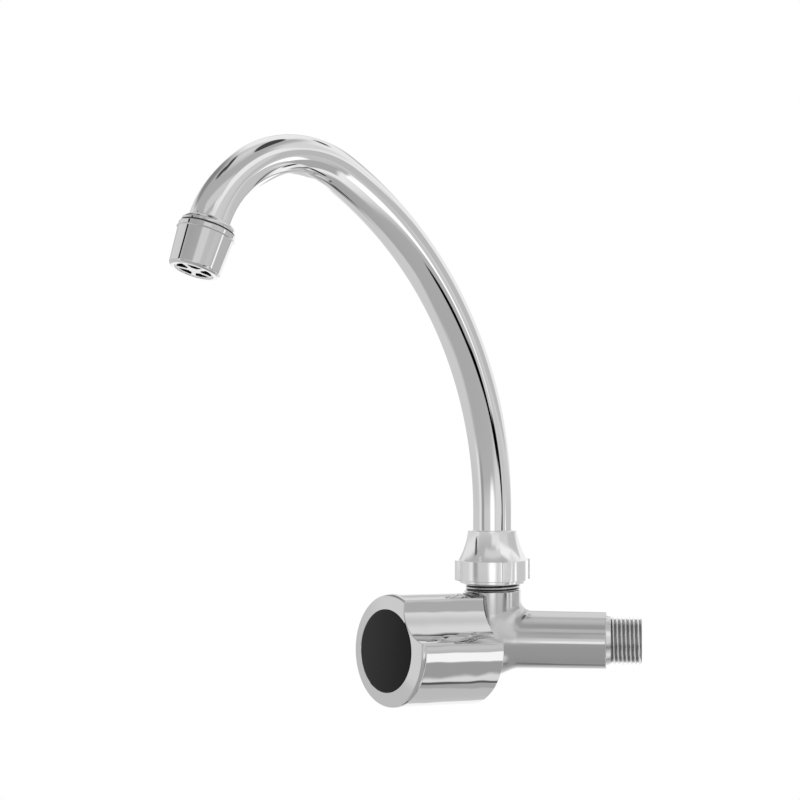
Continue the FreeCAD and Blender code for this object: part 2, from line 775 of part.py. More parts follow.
def make_spout_orings():
    """Two rubber rings that seal the foot in the neck."""
    rings = []
    for ring in range(2):
        height = (foot_flange_bottom - foot_spigot_len + foot_oring_start
                  + ring * foot_oring_pitch)
        centre_r = neck_bore_r - run_gap - foot_oring_wire_r
        rings.append(rubber_ring(centre_r, foot_oring_wire_r, height))
    pair = Part.makeCompound(rings)
    pair.translate(spout_axis)
    return pair


def make_tip_ring():
    """Ferrule on the tube's tip with the thread for the flow straightener."""
    profile = [(0, tube_r), (0, tube_r + tip_start_wall), (tip_shoulder_len, tip_shoulder_r),
               (tip_land_top, tip_shoulder_r), (tip_land_top, tip_thread_r),
               (tip_ring_end, tip_thread_r), (tip_ring_end, tip_bore_r),
               (tip_socket_len, tip_bore_r), (tip_socket_len, tube_r)]
    ring = turned(profile)
    ring.Placement = tip_frame()
    return ring


def make_aerator_housing():
    """Tapered chrome sleeve with a rounded lip round the outlet."""
    corner = (housing_end, housing_top_r - housing_taper)
    start, arc = round_corner(corner, (housing_start, housing_top_r), (housing_end, 0),
                              housing_edge_round)
    ridge_top = housing_start + housing_ridge_start
    ridge_end = ridge_top + housing_ridge_len
    slope = housing_taper / housing_len
    ridge_foot = housing_top_r - slope * housing_ridge_start
    ridge = [(ridge_top, ridge_foot),
             ((ridge_top + ridge_end) / 2, ridge_foot + housing_ridge_rise),
             (ridge_end, ridge_foot - slope * housing_ridge_len)]
    profile = [(housing_start, housing_bore_r), (housing_start, housing_top_r), *ridge, start, arc,
               (housing_end, outlet_r), (insert_end, outlet_r),
               (insert_end, insert_body_r + thread_gap),
               (insert_end - insert_recess, (insert_body_r + housing_bore_r) / 2),
               (gum_end + insert_flange, housing_bore_r)]
    sleeve = turned(profile)
    sleeve.Placement = tip_frame()
    return sleeve


def make_aerator_washer():
    """Rubber washer between the tip ring and the insert."""
    washer = tube_ring(insert_r, insert_r - gum_width, tip_ring_end, gum_end)
    washer.Placement = tip_frame()
    return washer


def make_aerator_screen():
    """Round steel screen with a grid of holes, on top of the insert."""
    screen = Part.makeCylinder(screen_r, screen_height, Vector(0, 0, gum_end))
    reach = int(screen_r / screen_pitch)
    holes = []
    for column in range(-reach, reach + 1):
        for row in range(-reach, reach + 1):
            centre = Vector(column * screen_pitch, row * screen_pitch, gum_end)
            if math.hypot(centre.x, centre.y) < screen_r - 2 * screen_hole_r:
                holes.append(Part.makeCylinder(screen_hole_r, screen_height, centre))
    screen = screen.cut(holes)
    screen.Placement = tip_frame()
    return screen


def make_aerator_insert():
    """White plastic insert: a ring, a hub and straight spokes."""
    profile = [(gum_end, screen_r + thread_gap), (gum_end, insert_r),
               (gum_end + insert_flange, insert_r), (gum_end + insert_flange, insert_body_r),
               (insert_end, insert_body_r), (insert_end, insert_body_r - insert_wall),
               (gum_end + screen_height, insert_body_r - insert_wall),
               (gum_end + screen_height, screen_r + thread_gap)]
    insert = turned(profile)
    face_bottom = insert_end - insert_recess - insert_face
    hub = Part.makeCylinder(insert_hub_r, insert_face, Vector(0, 0, face_bottom))
    pieces = [hub]
    for spoke in range(insert_spokes):
        arm = Part.makeBox(insert_body_r - insert_wall / 2, insert_spoke_width, insert_face,
                           Vector(0, -insert_spoke_width / 2, face_bottom))
        arm.rotate(Vector(0, 0, 0), up, spoke * 360 / insert_spokes)
        pieces.append(arm)
    insert = insert.fuse(pieces).removeSplitter()
    insert.Placement = tip_frame()
    return insert


pieces = {
    "body": make_body(),
    "swivel_nut": make_swivel_nut(),
    "neck_slip_ring": make_neck_slip_ring(),
    "nut_slip_ring": make_nut_slip_ring(),
    "cartridge_body": make_cartridge_body(),
    "cartridge_gasket": make_cartridge_gasket(),
    "seat_seal": make_seat_seal(),
    "fixed_disc": make_fixed_disc(),
    "moving_disc": make_moving_disc(),
    "spindle": make_spindle(),
    "spindle_orings": make_spindle_orings(),
    "thrust_washer": make_thrust_washer(),
    "spindle_circlip": make_spindle_circlip(),
    "knob_shell": make_knob_shell(),
    "knob_hub": make_knob_hub(),
    "knob_cap": make_knob_cap(),
    "knob_screw": make_knob_screw(),
    "spout_tube": make_spout_tube(),
    "spout_foot": make_spout_foot(),
    "spout_orings": make_spout_orings(),
    "tip_ring": make_tip_ring(),
    "aerator_housing": make_aerator_housing(),
    "aerator_washer": make_aerator_washer(),
    "aerator_screen": make_aerator_screen(),
    "aerator_insert": make_aerator_insert(),
}

os.makedirs("parts", exist_ok=True)
for name, shape in pieces.items():
    shape.exportStep("parts/" + name + ".step")
    print(name, "solids", len(shape.Solids), "valid", shape.isValid(),
          "volume %.0f" % shape.Volume)
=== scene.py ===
import json
import math

import bmesh
import bpy
import numpy as np
from mathutils import Matrix, Vector


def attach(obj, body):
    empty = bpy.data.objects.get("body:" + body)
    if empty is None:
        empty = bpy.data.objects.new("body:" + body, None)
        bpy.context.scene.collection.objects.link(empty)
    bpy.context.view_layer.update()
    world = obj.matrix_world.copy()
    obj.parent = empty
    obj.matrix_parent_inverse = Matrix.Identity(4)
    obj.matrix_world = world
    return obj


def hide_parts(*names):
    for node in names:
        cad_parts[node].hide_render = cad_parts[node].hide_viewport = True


# A chromed cold-water kitchen tap that screws into the wall. The scene dresses the packed
# model: the parts that show get fine skins and chrome, the hidden ones get their own finish.
# Lengths are millimetres until a skin is made, and the frame's own are metres.
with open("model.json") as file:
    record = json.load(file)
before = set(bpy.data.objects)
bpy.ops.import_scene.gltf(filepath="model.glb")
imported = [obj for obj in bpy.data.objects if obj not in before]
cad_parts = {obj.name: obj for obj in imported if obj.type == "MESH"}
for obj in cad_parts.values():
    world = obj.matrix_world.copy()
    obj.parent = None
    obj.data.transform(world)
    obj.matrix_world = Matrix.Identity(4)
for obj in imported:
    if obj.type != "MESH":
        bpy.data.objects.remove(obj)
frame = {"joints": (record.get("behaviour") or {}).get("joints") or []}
joints = {joint["name"]: joint for joint in frame["joints"]}
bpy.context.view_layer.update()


# Camera
# It looks level at the tap's right side, from 7 degrees ahead of square to the inlet pipe,
# as the photograph does, through a lens long enough to keep the pipe's sides parallel.
look_azimuth = math.radians(97)
look_distance = 0.8436
look_height = 0.1060
look_left = 0.04107
focal_px = 1900
frame_px = 800
sensor_mm = 36


def new_object(name, data):
    """Object that holds some data, put in the scene."""
    thing = bpy.data.objects.new(name, data)
    bpy.context.scene.collection.objects.link(thing)
    return thing


spout_foot_place = Vector(joints["spout_swivel"]["pos_m"])
camera_right = Vector((math.cos(look_azimuth), math.sin(look_azimuth), 0))
camera_ahead = Vector((-camera_right.y, camera_right.x, 0))
camera = new_object("camera", bpy.data.cameras.new("camera"))
camera.data.sensor_width = sensor_mm
camera.data.lens = sensor_mm * focal_px / frame_px
camera.location = (Vector((spout_foot_place.x, spout_foot_place.y, look_height))
                   - camera_right * look_left - camera_ahead * look_distance)
camera.rotation_euler = camera_ahead.to_track_quat("-Z", "Y").to_euler()
bpy.context.scene.camera = camera


# Body
# One brass casting holds the inlet pipe, the neck and the valve branch round a ball. It is
# turned, threaded, polished less well in the junction, chromed, and screws into the wall.
inlet_thread_r = 10.4775
inlet_thread_len = 15.5
inlet_thread_pitch = 1.814
inlet_runout_rise = 0.7
inlet_runout_len = 2.0
inlet_bore_r = 6.5
inlet_bore_end = 62.0
inlet_pipe_len = 50.3
inlet_pipe_r = 12.9
inlet_pipe_taper = 0.34
inlet_pipe_chamfer = 0.5
inlet_chamfer_middle = 0.15
neck_r = 12.65
neck_plain_top = 21.8
neck_top = 34.0
neck_thread_r = 12.5
neck_thread_pitch = 1.5
neck_bore_r = 9.5
neck_bore_floor = 10.0
neck_fillet = 4.5
branch_r = 12.4
branch_len = 31.8
branch_bore_r = 10.25
branch_bore_floor = 12.0
branch_fillet = 2.0
casting_grain = 0.62
inlet_mouth_chamfer = 0.5
neck_chamfer = 0.3
branch_chamfer = 0.4
thread_depth_share = 0.64
thread_crest_ease = 0.45
thread_rows = 16
cut_fade = 0.05
root_shade_start = 0.3
root_shade_full = 0.2
rod_sides = 96
rod_overrun = 3
casting_passes = 5
turned_sides = 192

mm = 0.001
up = Vector((0, 0, 1))
spout_base = Vector((spout_foot_place.x, spout_foot_place.y, 0)) / mm
valve_base = Vector(joints["knob_turn"]["pos_m"]) / mm
valve_along = Vector(joints["knob_turn"]["axis"]).normalized()
valve_across = up.cross(valve_along).normalized()


def placed(base, across, along):
    """Matrix whose Z runs along a piece's axis and X across it, in millimetres."""
    side = along.cross(across)
    return Matrix.Translation(base) @ Matrix((across, side, along)).transposed().to_4x4()


spout_frame = placed(spout_base, Vector((1, 0, 0)), up)
inlet_frame = placed(spout_base, Vector((1, 0, 0)), Vector((0, 1, 0)))
valve_frame = placed(valve_base, valve_across, valve_along)


def moved(points, place):
    """Points carried from a piece's own frame into the row's frame."""
    turn = np.array(place.to_3x3())
    return np.asarray(points) @ turn.T + np.array(place.translation)


def new_skin():
    """Empty skin: points, faces and the shading normal of each face corner."""
    return {"points": [], "faces": [], "normals": []}


def lay_stretch(skin, grid, first_row=None, last_row=None, facing=None):
    """Adds one smooth stretch of rings. It returns the point numbers of its last ring."""
    count, sides = grid.shape[:2]
    along = np.gradient(grid, axis=0, edge_order=2 if count > 2 else 1)
    around = np.roll(grid, -1, axis=1) - np.roll(grid, 1, axis=1)
    measured = np.cross(along, around)
    size = np.linalg.norm(measured, axis=2, keepdims=True)
    measured = measured / np.maximum(size, 1e-12)
    for ring in range(count):
        if size[ring].max() < 1e-9:
            near = measured[min(ring + 1, count - 1)] if ring == 0 else measured[ring - 1]
            middle = near.mean(axis=0)
            measured[ring] = middle / max(np.linalg.norm(middle), 1e-12)
    if facing is None:
        facing = measured
    elif (facing * measured).sum() < 0:
        facing = -facing
    rows = []
    for ring in range(count):
        start = len(skin["points"])
        if ring == 0 and first_row is not None:
            rows.append(first_row)
        elif ring == count - 1 and last_row is not None:
            rows.append(last_row)
        elif np.ptp(grid[ring], axis=0).max() < 1e-7:
            skin["points"].append(grid[ring, 0])
            rows.append([start] * sides)
        else:
            skin["points"].extend(grid[ring])
            rows.append(list(range(start, start + sides)))
    for ring in range(count - 1):
        for side in range(sides):
            other = (side + 1) % sides
            corners = {}
            for row, column in ((ring, side), (ring + 1, side), (ring + 1, other), (ring, other)):
                corners.setdefault(rows[row][column], facing[row, column])
            if len(corners) > 2:
                skin["faces"].append(list(corners))
                skin["normals"].extend(corners.values())
    return rows[-1]


def lay_stretches(skin, stretches, row=None, last_row=None):
    """Adds grids, or (grid, facing) pairs, each from the row where the one before it ended.

    The last of them may end on a row that is there already."""
    for number, stretch in enumerate(stretches):
        grid, facing = stretch if isinstance(stretch, tuple) else (stretch, None)
        ending = last_row if number == len(stretches) - 1 else None
        row = lay_stretch(skin, grid, row, ending, facing)
    return row


def make_piece(name, skin, place, body, material, slot, *nodes):
    """Closed mesh object from a skin, riding on a body in place of its CAD nodes."""
    points = moved(skin["points"], place) * mm
    faces = skin["faces"]
    normals = np.array(skin["normals"]) @ np.array(place.to_3x3()).T
    corners = np.array([(face[0], *pair) for face in faces for pair in zip(face[1:], face[2:])])
    first, near, far = (points[corner] for corner in corners.T)
    if (first * np.cross(near, far)).sum() < 0:
        face_ends = np.cumsum([len(face) for face in faces])[:-1]
        normals = -np.concatenate([part[::-1] for part in np.split(normals, face_ends)])
        faces = [face[::-1] for face in faces]
    mesh = bpy.data.meshes.new(name)
    mesh.from_pydata(points.tolist(), [], faces)
    mesh.polygons.foreach_set("use_smooth", [True] * len(faces))
    mesh.normals_split_custom_set(normals.tolist())
    mesh.materials.append(material)
    piece = new_object(name, mesh)
    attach(piece, body)
    if nodes:
        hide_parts(*nodes)
    return piece


def arc_points(start, middle, end, steps):
    """Points along the arc through three points of a plane."""
    (ax, ay), (bx, by), (cx, cy) = start, middle, end
    twice = 2 * (ax * (by - cy) + bx * (cy - ay) + cx * (ay - by))
    a2, b2, c2 = ax * ax + ay * ay, bx * bx + by * by, cx * cx + cy * cy
    centre = np.array([(a2 * (by - cy) + b2 * (cy - ay) + c2 * (ay - by)) / twice,
                       (a2 * (cx - bx) + b2 * (ax - cx) + c2 * (bx - ax)) / twice])
    spokes = [np.array(point) - centre for point in (start, middle, end)]
    angles = [math.atan2(spoke[1], spoke[0]) for spoke in spokes]
    half = (angles[1] - angles[0] + math.pi) % (2 * math.pi) - math.pi
    rest = (angles[2] - angles[1] + math.pi) % (2 * math.pi) - math.pi
    sweep = angles[0] + np.linspace(0, half + rest, steps + 1)
    radius = np.linalg.norm(spokes[0])
    return centre + radius * np.stack([np.cos(sweep), np.sin(sweep)], axis=1)


def eased(corners, steps=6, closed=True):
    """Stretches of an outline of (x, y, rounding[, arc middle]) corners, the corners rounded.

    A corner's arc middle makes the stretch that leads to it an arc."""
    spots = [np.array(corner[:2], float) for corner in corners]
    bends = []
    for index, spot in enumerate(spots):
        rounding = corners[index][2]
        if rounding <= 0:
            bends.append(spot[None])
            continue
        before = spots[index - 1] - spot
        after = spots[(index + 1) % len(spots)] - spot
        before /= np.linalg.norm(before)
        after /= np.linalg.norm(after)
        half = math.acos(np.clip(before @ after, -1, 1)) / 2
        reach = rounding / math.tan(half)
        middle = before + after
        centre = spot + middle / np.linalg.norm(middle) * rounding / math.sin(half)
        crown = centre + (spot - centre) / np.linalg.norm(spot - centre) * rounding
        bends.append(arc_points(spot + before * reach, crown, spot + after * reach, steps))
    stretches = []
    for index, bend in enumerate(bends):
        stretches.append(bend)
        following = (index + 1) % len(bends)
        if following == 0 and not closed:
            break
        entry = bends[following][0]
        if len(corners[following]) > 3:
            stretches.append(arc_points(bend[-1], corners[following][3], entry, 4 * steps))
        else:
            stretches.append(np.array([bend[-1], entry]))
    return [stretch for stretch in stretches if np.ptp(stretch, axis=0).max() > 1e-6]


def ring_grid(stretch, angles, radii=None):
    """Rings about Z from (height, radius) points, or with radii that vary round each ring."""
    stretch = np.asarray(stretch)
    if radii is None:
        radii = stretch[:, 1:2]
    return np.stack(np.broadcast_arrays(radii * np.cos(angles), radii * np.sin(angles),
                                        stretch[:, :1]), axis=2)


def even_angles(sides):
    """Angles of evenly spread ring points."""
    return np.arange(sides) * 2 * math.pi / sides


def turned_skin(corners, steps=6):
    """Skin turned about Z from a closed outline of (height, radius, rounding) corners."""
    stretches = [stretch for stretch in eased(corners, steps) if stretch[:, 1].max() > 1e-6]
    hollow = np.allclose(stretches[0][0], stretches[-1][-1], atol=1e-6)
    skin = new_skin()
    lay_stretches(skin, [ring_grid(stretch, even_angles(turned_sides)) for stretch in stretches],
                  None, list(range(turned_sides)) if hollow else None)
    return skin


def straight_runs(*corners):
    """Straight stretches from each corner to the next."""
    return [np.array(pair) for pair in zip(corners, corners[1:])]


def screw_grid(angles, bottom, top, outer_r, pitch, lead_in, lead_out):
    """Rings of a right-hand pipe thread: rounded crests and roots on a helix about Z."""
    depth = thread_depth_share * pitch
    heights = np.linspace(bottom, top, int((top - bottom) / pitch * thread_rows) + 1)[:, None]
    phase = heights / pitch - angles / (2 * math.pi)
    wave = 1 - np.abs(2 * (phase % 1) - 1)
    wave += (wave * wave * (3 - 2 * wave) - wave) * thread_crest_ease
    radii = outer_r - depth * (1 - wave)
    for lead in ((heights - bottom) / lead_in, (top - heights) / lead_out):
        radii = np.minimum(radii, outer_r - depth * (1 - lead))
    return ring_grid(heights, angles, radii)


def round_union(near, far, radius):
    """Distance to two forms joined by a rolled fillet."""
    inner = np.minimum(near, far)
    u = np.maximum(radius - near, 0)
    v = np.maximum(radius - far, 0)
    return np.maximum(radius, inner) - np.hypot(u, v)


def rod_distance(points, place, radius_start, radius_slope=0.0):
    """Distance to a rod that starts in a half ball and runs along a frame's Z."""
    own = moved(points, place.inverted())
    height = own[:, 2]
    ahead = np.hypot(own[:, 0], own[:, 1]) - (radius_start - radius_slope * height)
    behind = np.linalg.norm(own, axis=1) - radius_start
    return np.where(height > 0, ahead, behind)


def casting_distance(points):
    """Distance to the casting's outside, before its ends are turned."""
    pipe = rod_distance(points, inlet_frame, inlet_pipe_r, inlet_pipe_taper / inlet_pipe_len)
    neck = rod_distance(points, spout_frame, neck_r)
    branch = rod_distance(points, valve_frame, branch_r)
    return round_union(round_union(pipe, neck, neck_fillet), branch, branch_fillet)


def casting_slope(points, step=0.01):
    """Outward directions of the casting's surface."""
    slope = np.empty_like(points)
    for axis in range(3):
        shift = np.zeros(3)
        shift[axis] = step
        slope[:, axis] = (casting_distance(points + shift)
                          - casting_distance(points - shift)) / (2 * step)
    return slope


def rough_casting():
    """Voxel skin of three rods, which run on past the planes where their ends are turned."""
    block = bmesh.new()
    for place, radius, length in ((inlet_frame, inlet_pipe_r, inlet_pipe_len),
                                  (spout_frame, neck_r, neck_plain_top),
                                  (valve_frame, branch_r, branch_len)):
        length += rod_overrun
        stand = place @ Matrix.Translation((0, 0, length / 2))
        bmesh.ops.create_cone(block, cap_ends=True, segments=rod_sides, radius1=radius,
                              radius2=radius, depth=length, matrix=stand)
        bmesh.ops.create_uvsphere(block, u_segments=rod_sides, v_segments=rod_sides // 2,
                                  radius=radius, matrix=place)
    mesh = bpy.data.meshes.new("rough_casting")
    block.to_mesh(mesh)
    block.free()
    rough = new_object("rough_casting", mesh)
    remesh = rough.modifiers.new("remesh", "REMESH")
    remesh.mode = "VOXEL"
    remesh.voxel_size = casting_grain
    held = bpy.context.evaluated_depsgraph_get()
    skin = bpy.data.meshes.new_from_object(rough.evaluated_get(held))
    bpy.data.objects.remove(rough)
    return skin


def turned_end(skin, ring, place, stretches):
    """Carries an open ring of the casting on through the turned stretches of its end."""
    own = moved(np.array([skin["points"][index] for index in ring]), place.inverted())
    angles = np.arctan2(own[:, 1], own[:, 0])
    order = np.argsort(angles)
    angles = angles[order]
    row = [ring[index] for index in order]
    grids = [stretch(angles) if callable(stretch) else ring_grid(stretch, angles)
             for stretch in stretches]
    probe = np.cross(grids[0][1, 0] - grids[0][0, 0], grids[0][0, 1] - grids[0][0, 0])
    outward = np.array([math.cos(angles[0]), math.sin(angles[0]), 1.0])
    if probe @ outward < 0:
        grids = [grid[:, ::-1] for grid in grids]
        row = row[::-1]
    lay_stretches(skin, [moved(grid, place) for grid in grids], row)


casting_mesh = rough_casting()
casting = bmesh.new()
casting.from_mesh(casting_mesh)
bpy.data.meshes.remove(casting_mesh)
spots = np.array([point.co for point in casting.verts])
for attempt in range(casting_passes):
    slope = casting_slope(spots)
    off = casting_distance(spots)[:, None]
    spots = spots - off * slope / (slope * slope).sum(axis=1, keepdims=True)
for point, spot in zip(casting.verts, spots):
    point.co = spot
shoulder_r = inlet_pipe_r - inlet_pipe_taper
shoulder_start = inlet_pipe_len - inlet_pipe_chamfer
ends = []
for place, height, radius in ((inlet_frame, shoulder_start, shoulder_r),
                              (spout_frame, neck_plain_top - neck_chamfer, neck_r),
                              (valve_frame, branch_len - branch_chamfer, branch_r)):
    cut = bmesh.ops.bisect_plane(casting, geom=casting.verts[:] + casting.edges[:]
                                 + casting.faces[:], plane_co=place @ Vector((0, 0, height)),
                                 plane_no=place.to_3x3() @ up, clear_outer=True)
    ring = [item for item in cut["geom_cut"] if isinstance(item, bmesh.types.BMVert)]
    for point in ring:
        own = place.inverted() @ point.co
        own.xy *= radius / own.xy.length
        point.co = place @ own
    ends.append(ring)
casting.verts.index_update()
ends = [[point.index for point in ring if point.is_valid] for ring in ends]

body_skin = new_skin()
body_skin["points"] = [np.array(point.co) for point in casting.verts]
slopes = casting_slope(np.array(body_skin["points"]))
slopes /= np.linalg.norm(slopes, axis=1, keepdims=True)
for face in casting.faces:
    corners = [point.index for point in face.verts]
    body_skin["faces"].append(corners)
    body_skin["normals"].extend(slopes[corners])
casting.free()

runout_r = inlet_thread_r + inlet_runout_rise
thread_start = inlet_pipe_len + inlet_runout_len
inlet_end = inlet_pipe_len + inlet_thread_len
inlet_root_r = inlet_thread_r - thread_depth_share * inlet_thread_pitch
neck_root_r = neck_thread_r - thread_depth_share * neck_thread_pitch
turned_end(body_skin, ends[0], inlet_frame, [
    arc_points((shoulder_start, shoulder_r),
               (inlet_pipe_len - inlet_chamfer_middle, shoulder_r - inlet_chamfer_middle),
               (inlet_pipe_len, shoulder_r - inlet_pipe_chamfer), 6),
    *straight_runs((inlet_pipe_len, shoulder_r - inlet_pipe_chamfer), (inlet_pipe_len, runout_r),
                   (thread_start, inlet_thread_r), (thread_start, inlet_root_r)),
    lambda angles: screw_grid(angles, thread_start, inlet_end, inlet_thread_r,
                              inlet_thread_pitch, lead_in=0.7, lead_out=0.9),
    *straight_runs((inlet_end, inlet_root_r), (inlet_end, inlet_bore_r + inlet_mouth_chamfer),
                   (inlet_end - inlet_mouth_chamfer, inlet_bore_r),
                   (inlet_end - inlet_bore_end, inlet_bore_r), (inlet_end - inlet_bore_end, 0))])
turned_end(body_skin, ends[1], spout_frame, [
    *straight_runs((neck_plain_top - neck_chamfer, neck_r),
                   (neck_plain_top, neck_r - neck_chamfer), (neck_plain_top, neck_root_r)),
    lambda angles: screw_grid(angles, neck_plain_top, neck_top, neck_thread_r,
                              neck_thread_pitch, lead_in=0.5, lead_out=0.7),
    *straight_runs((neck_top, neck_root_r), (neck_top, neck_bore_r),
                   (neck_bore_floor, neck_bore_r), (neck_bore_floor, 0))])
turned_end(body_skin, ends[2], valve_frame, straight_runs(
    (branch_len - branch_chamfer, branch_r), (branch_len, branch_r - branch_chamfer),
    (branch_len, branch_bore_r), (branch_bore_floor, branch_bore_r), (branch_bore_floor, 0)))


def set_inputs(tree, node, inputs):
    """Gives each named input of a node a value, or the socket that feeds it."""
    for label, value in inputs.items():
        if isinstance(value, bpy.types.NodeSocket):
            tree.links.new(value, node.inputs[label])
        else:
            node.inputs[label].default_value = value


def add_node(tree, kind, inputs=None, **settings):
    """New shader node with its settings and inputs."""
    node = tree.nodes.new("ShaderNode" + kind)
    for setting, value in settings.items():
        setattr(node, setting, value)
    set_inputs(tree, node, inputs or {})
    return node


def math_step(tree, operation, *values):
    """Result of a sum on numbers, as a socket."""
    return add_node(tree, "Math", dict(enumerate(values)), operation=operation).outputs[0]


def vector_step(tree, operation, *values):
    """Result of a sum on vectors, as a socket."""
    step = add_node(tree, "VectorMath", dict(enumerate(values)), operation=operation)
    measured = operation in ("DOT_PRODUCT", "LENGTH", "DISTANCE")
    return step.outputs["Value" if measured else "Vector"]


def share_of(tree, value, start, end):
    """Socket that goes from 0 to 1 as a value goes from a start to an end."""
    share = add_node(tree, "MapRange", {"Value": value, "From Min": start, "From Max": end})
    return share.outputs["Result"]


def blend(tree, share, first, second):
    """Socket that goes from one number or colour to another as a share goes from 0 to 1."""
    kind, place, result = ("RGBA", 6, 2) if isinstance(second, tuple) else ("FLOAT", 2, 0)
    mixer = add_node(tree, "Mix", {0: share, place: first, place + 1: second}, data_type=kind)
    return mixer.outputs[result]


def grey(tone):
    """Opaque neutral colour."""
    return (tone, tone, tone, 1)


def new_material(name):
    """Material, its node tree and its shader."""
    material = bpy.data.materials.new(name)
    material.use_nodes = True
    return material, material.node_tree, material.node_tree.nodes["Principled BSDF"]


def node_group(name, inputs, outputs):
    """Shader node group with its ingoing and outgoing sockets by their names."""
    group = bpy.data.node_groups.new(name, "ShaderNodeTree")
    for label, value in inputs.items():
        kind = "NodeSocketVector" if isinstance(value, tuple) else "NodeSocketFloat"
        socket = group.interface.new_socket(name=label, in_out="INPUT", socket_type=kind)
        socket.default_value = value
    for label in outputs:
        group.interface.new_socket(name=label, in_out="OUTPUT", socket_type="NodeSocketFloat")
    return (group, group.nodes.new("NodeGroupInput").outputs,
            group.nodes.new("NodeGroupOutput").inputs)


def textured_finish(name, group, settings, depth, metal, dark, light=None):
    """Material with a group's relief and polish, in one colour or mottled between two."""
    material, tree, shader = new_material(name)
    surface = add_node(tree, "Group", settings, node_tree=group).outputs
    bump = add_node(tree, "Bump", {"Strength": 1.0, "Distance": depth * mm,
                                   "Height": surface["Height"]})
    colour = blend(tree, surface["Shade"], dark, light) if light else dark
    set_inputs(tree, shader, {"Base Color": colour, "Metallic": metal,
                              "Roughness": surface["Roughness"],
                              "Normal": bump.outputs["Normal"]})
    return material


def make_polish_group():
    """Polished plating: long faint ripples from the buff, and a haze that comes and goes."""
    group, ins, outs = node_group("polish", {"Ripple size": 60.0, "Clear": 0.04, "Hazy": 0.09},
                                  ["Roughness", "Height"])
    place = add_node(group, "TexCoord").outputs["Object"]
    ripple = add_node(group, "TexNoise", {"Vector": place, "Scale": ins["Ripple size"],
                                          "Detail": 1.0})
    haze = add_node(group, "TexNoise", {"Vector": place, "Scale": 220.0, "Detail": 5.0})
    spread = add_node(group, "MapRange", {
        "Value": haze.outputs["Fac"], "From Min": 0.35, "From Max": 0.7,
        "To Min": ins["Clear"], "To Max": ins["Hazy"]})
    group.links.new(ripple.outputs["Fac"], outs["Height"])
    group.links.new(spread.outputs["Result"], outs["Roughness"])
    return group


polish_group = make_polish_group()


def chrome_finish(name, tone, ripple_size, ripple_depth, clear, hazy):
    """Bright nickel and chrome plating with its polish set for one kind of piece, and its grey
    set lighter or darker per piece as painted light and shade.
    """
    polish = {"Ripple size": ripple_size, "Clear": clear, "Hazy": hazy}
    return textured_finish(name, polish_group, polish, ripple_depth, 1.0, grey(tone))


def repaint(material, share, tone=None, roughness=None):
    """Takes a finish over to another grey or polish as a share of it rises to 1."""
    tree = material.node_tree
    shader = tree.nodes["Principled BSDF"]
    changes = {"Base Color": None if tone is None else grey(tone), "Roughness": roughness}
    for label, value in changes.items():
        socket = shader.inputs[label]
        if value is not None:
            was = socket.links[0].from_socket if socket.is_linked else socket.default_value
            tree.links.new(blend(tree, share, was, value), socket)


def machined_zone_with_root_shade(material, along, start, end, crest_r, root_r, painted_root_shade):
    """Brightens a freshly cut stretch, dulls it a little and paints shade into its thread's
    roots.
    """
    tree = material.node_tree

    def share(value, start, end):
        return share_of(tree, value, start * mm, end * mm)

    place = add_node(tree, "TexCoord").outputs["Object"]
    spot = vector_step(tree, "SUBTRACT", place, spout_base * mm)
    height = vector_step(tree, "DOT_PRODUCT", spot, along)
    aside = vector_step(tree, "SUBTRACT", spot, vector_step(tree, "PROJECT", spot, along))
    reach = vector_step(tree, "LENGTH", aside)
    cut = math_step(tree, "MULTIPLY", share(height, start, start + cut_fade),
                    share(height, end + cut_fade, end))
    # Painted shade: the thread's roots are painted a darker grey, where shade falls between the
    # crests.
    root = share(reach, crest_r - root_shade_start, root_r + root_shade_full)
    repaint(material, cut, tone=0.95, roughness=0.24)
    repaint(material, math_step(tree, "MULTIPLY", root, cut), tone=painted_root_shade)


# Painted light and shade: each chromed piece gets its own grey, lighter or darker copies of one
# plating, standing in for how bright its reflections show.
cast_chrome = chrome_finish("cast_chrome", tone=0.69, ripple_size=45.0, ripple_depth=0.12,
                            clear=0.04, hazy=0.09)
machined_zone_with_root_shade(cast_chrome, Vector((0, 1, 0)), inlet_pipe_len, inlet_end + 1, inlet_thread_r,
              inlet_root_r, painted_root_shade=0.42)
machined_zone_with_root_shade(cast_chrome, up, neck_plain_top, neck_top, neck_thread_r, neck_root_r,
              painted_root_shade=0.10)
junction_clear = 30
junction_hazy = 18
cast_tree = cast_chrome.node_tree
junction_reach = vector_step(cast_tree, "DISTANCE",
                             add_node(cast_tree, "TexCoord").outputs["Object"], spout_base * mm)
junction_share = share_of(cast_tree, junction_reach, junction_clear * mm, junction_hazy * mm)
repaint(cast_chrome, junction_share, roughness=0.20)
make_piece("casting", body_skin, Matrix.Identity(4), "tap", cast_chrome, "chrome", "body")


# Swivel nut
# A chromed brass bell nut screws on the neck's thread over the spout's foot. Four cast grips
# stand out of its ring for the fingers, and a thin lip runs round its foot.
nut_lip_bottom = 25.1
nut_lip_height = 1.2
nut_lip_r = 14.9
nut_ring_height = 9.0
nut_ring_r = 15.7
nut_ribs = 4
nut_rib_width = 3.3
nut_rib_rise = 1.6
nut_rib_round = 0.4
nut_rib_turn = math.radians(25)
nut_bell_r = 15.35
nut_bell_waist_r = 12.75
nut_bell_waist_up = 5.6
nut_bell_len = 13.1
nut_bell_rim = 0.4
nut_top_r = 11.1
nut_hole_r = 9.1
nut_hole_len = 2.6
nut_hollow_up = 8
nut_hollow_rise = 1.6
nut_thread_bore_r = 12.55
nut_edge = 0.25


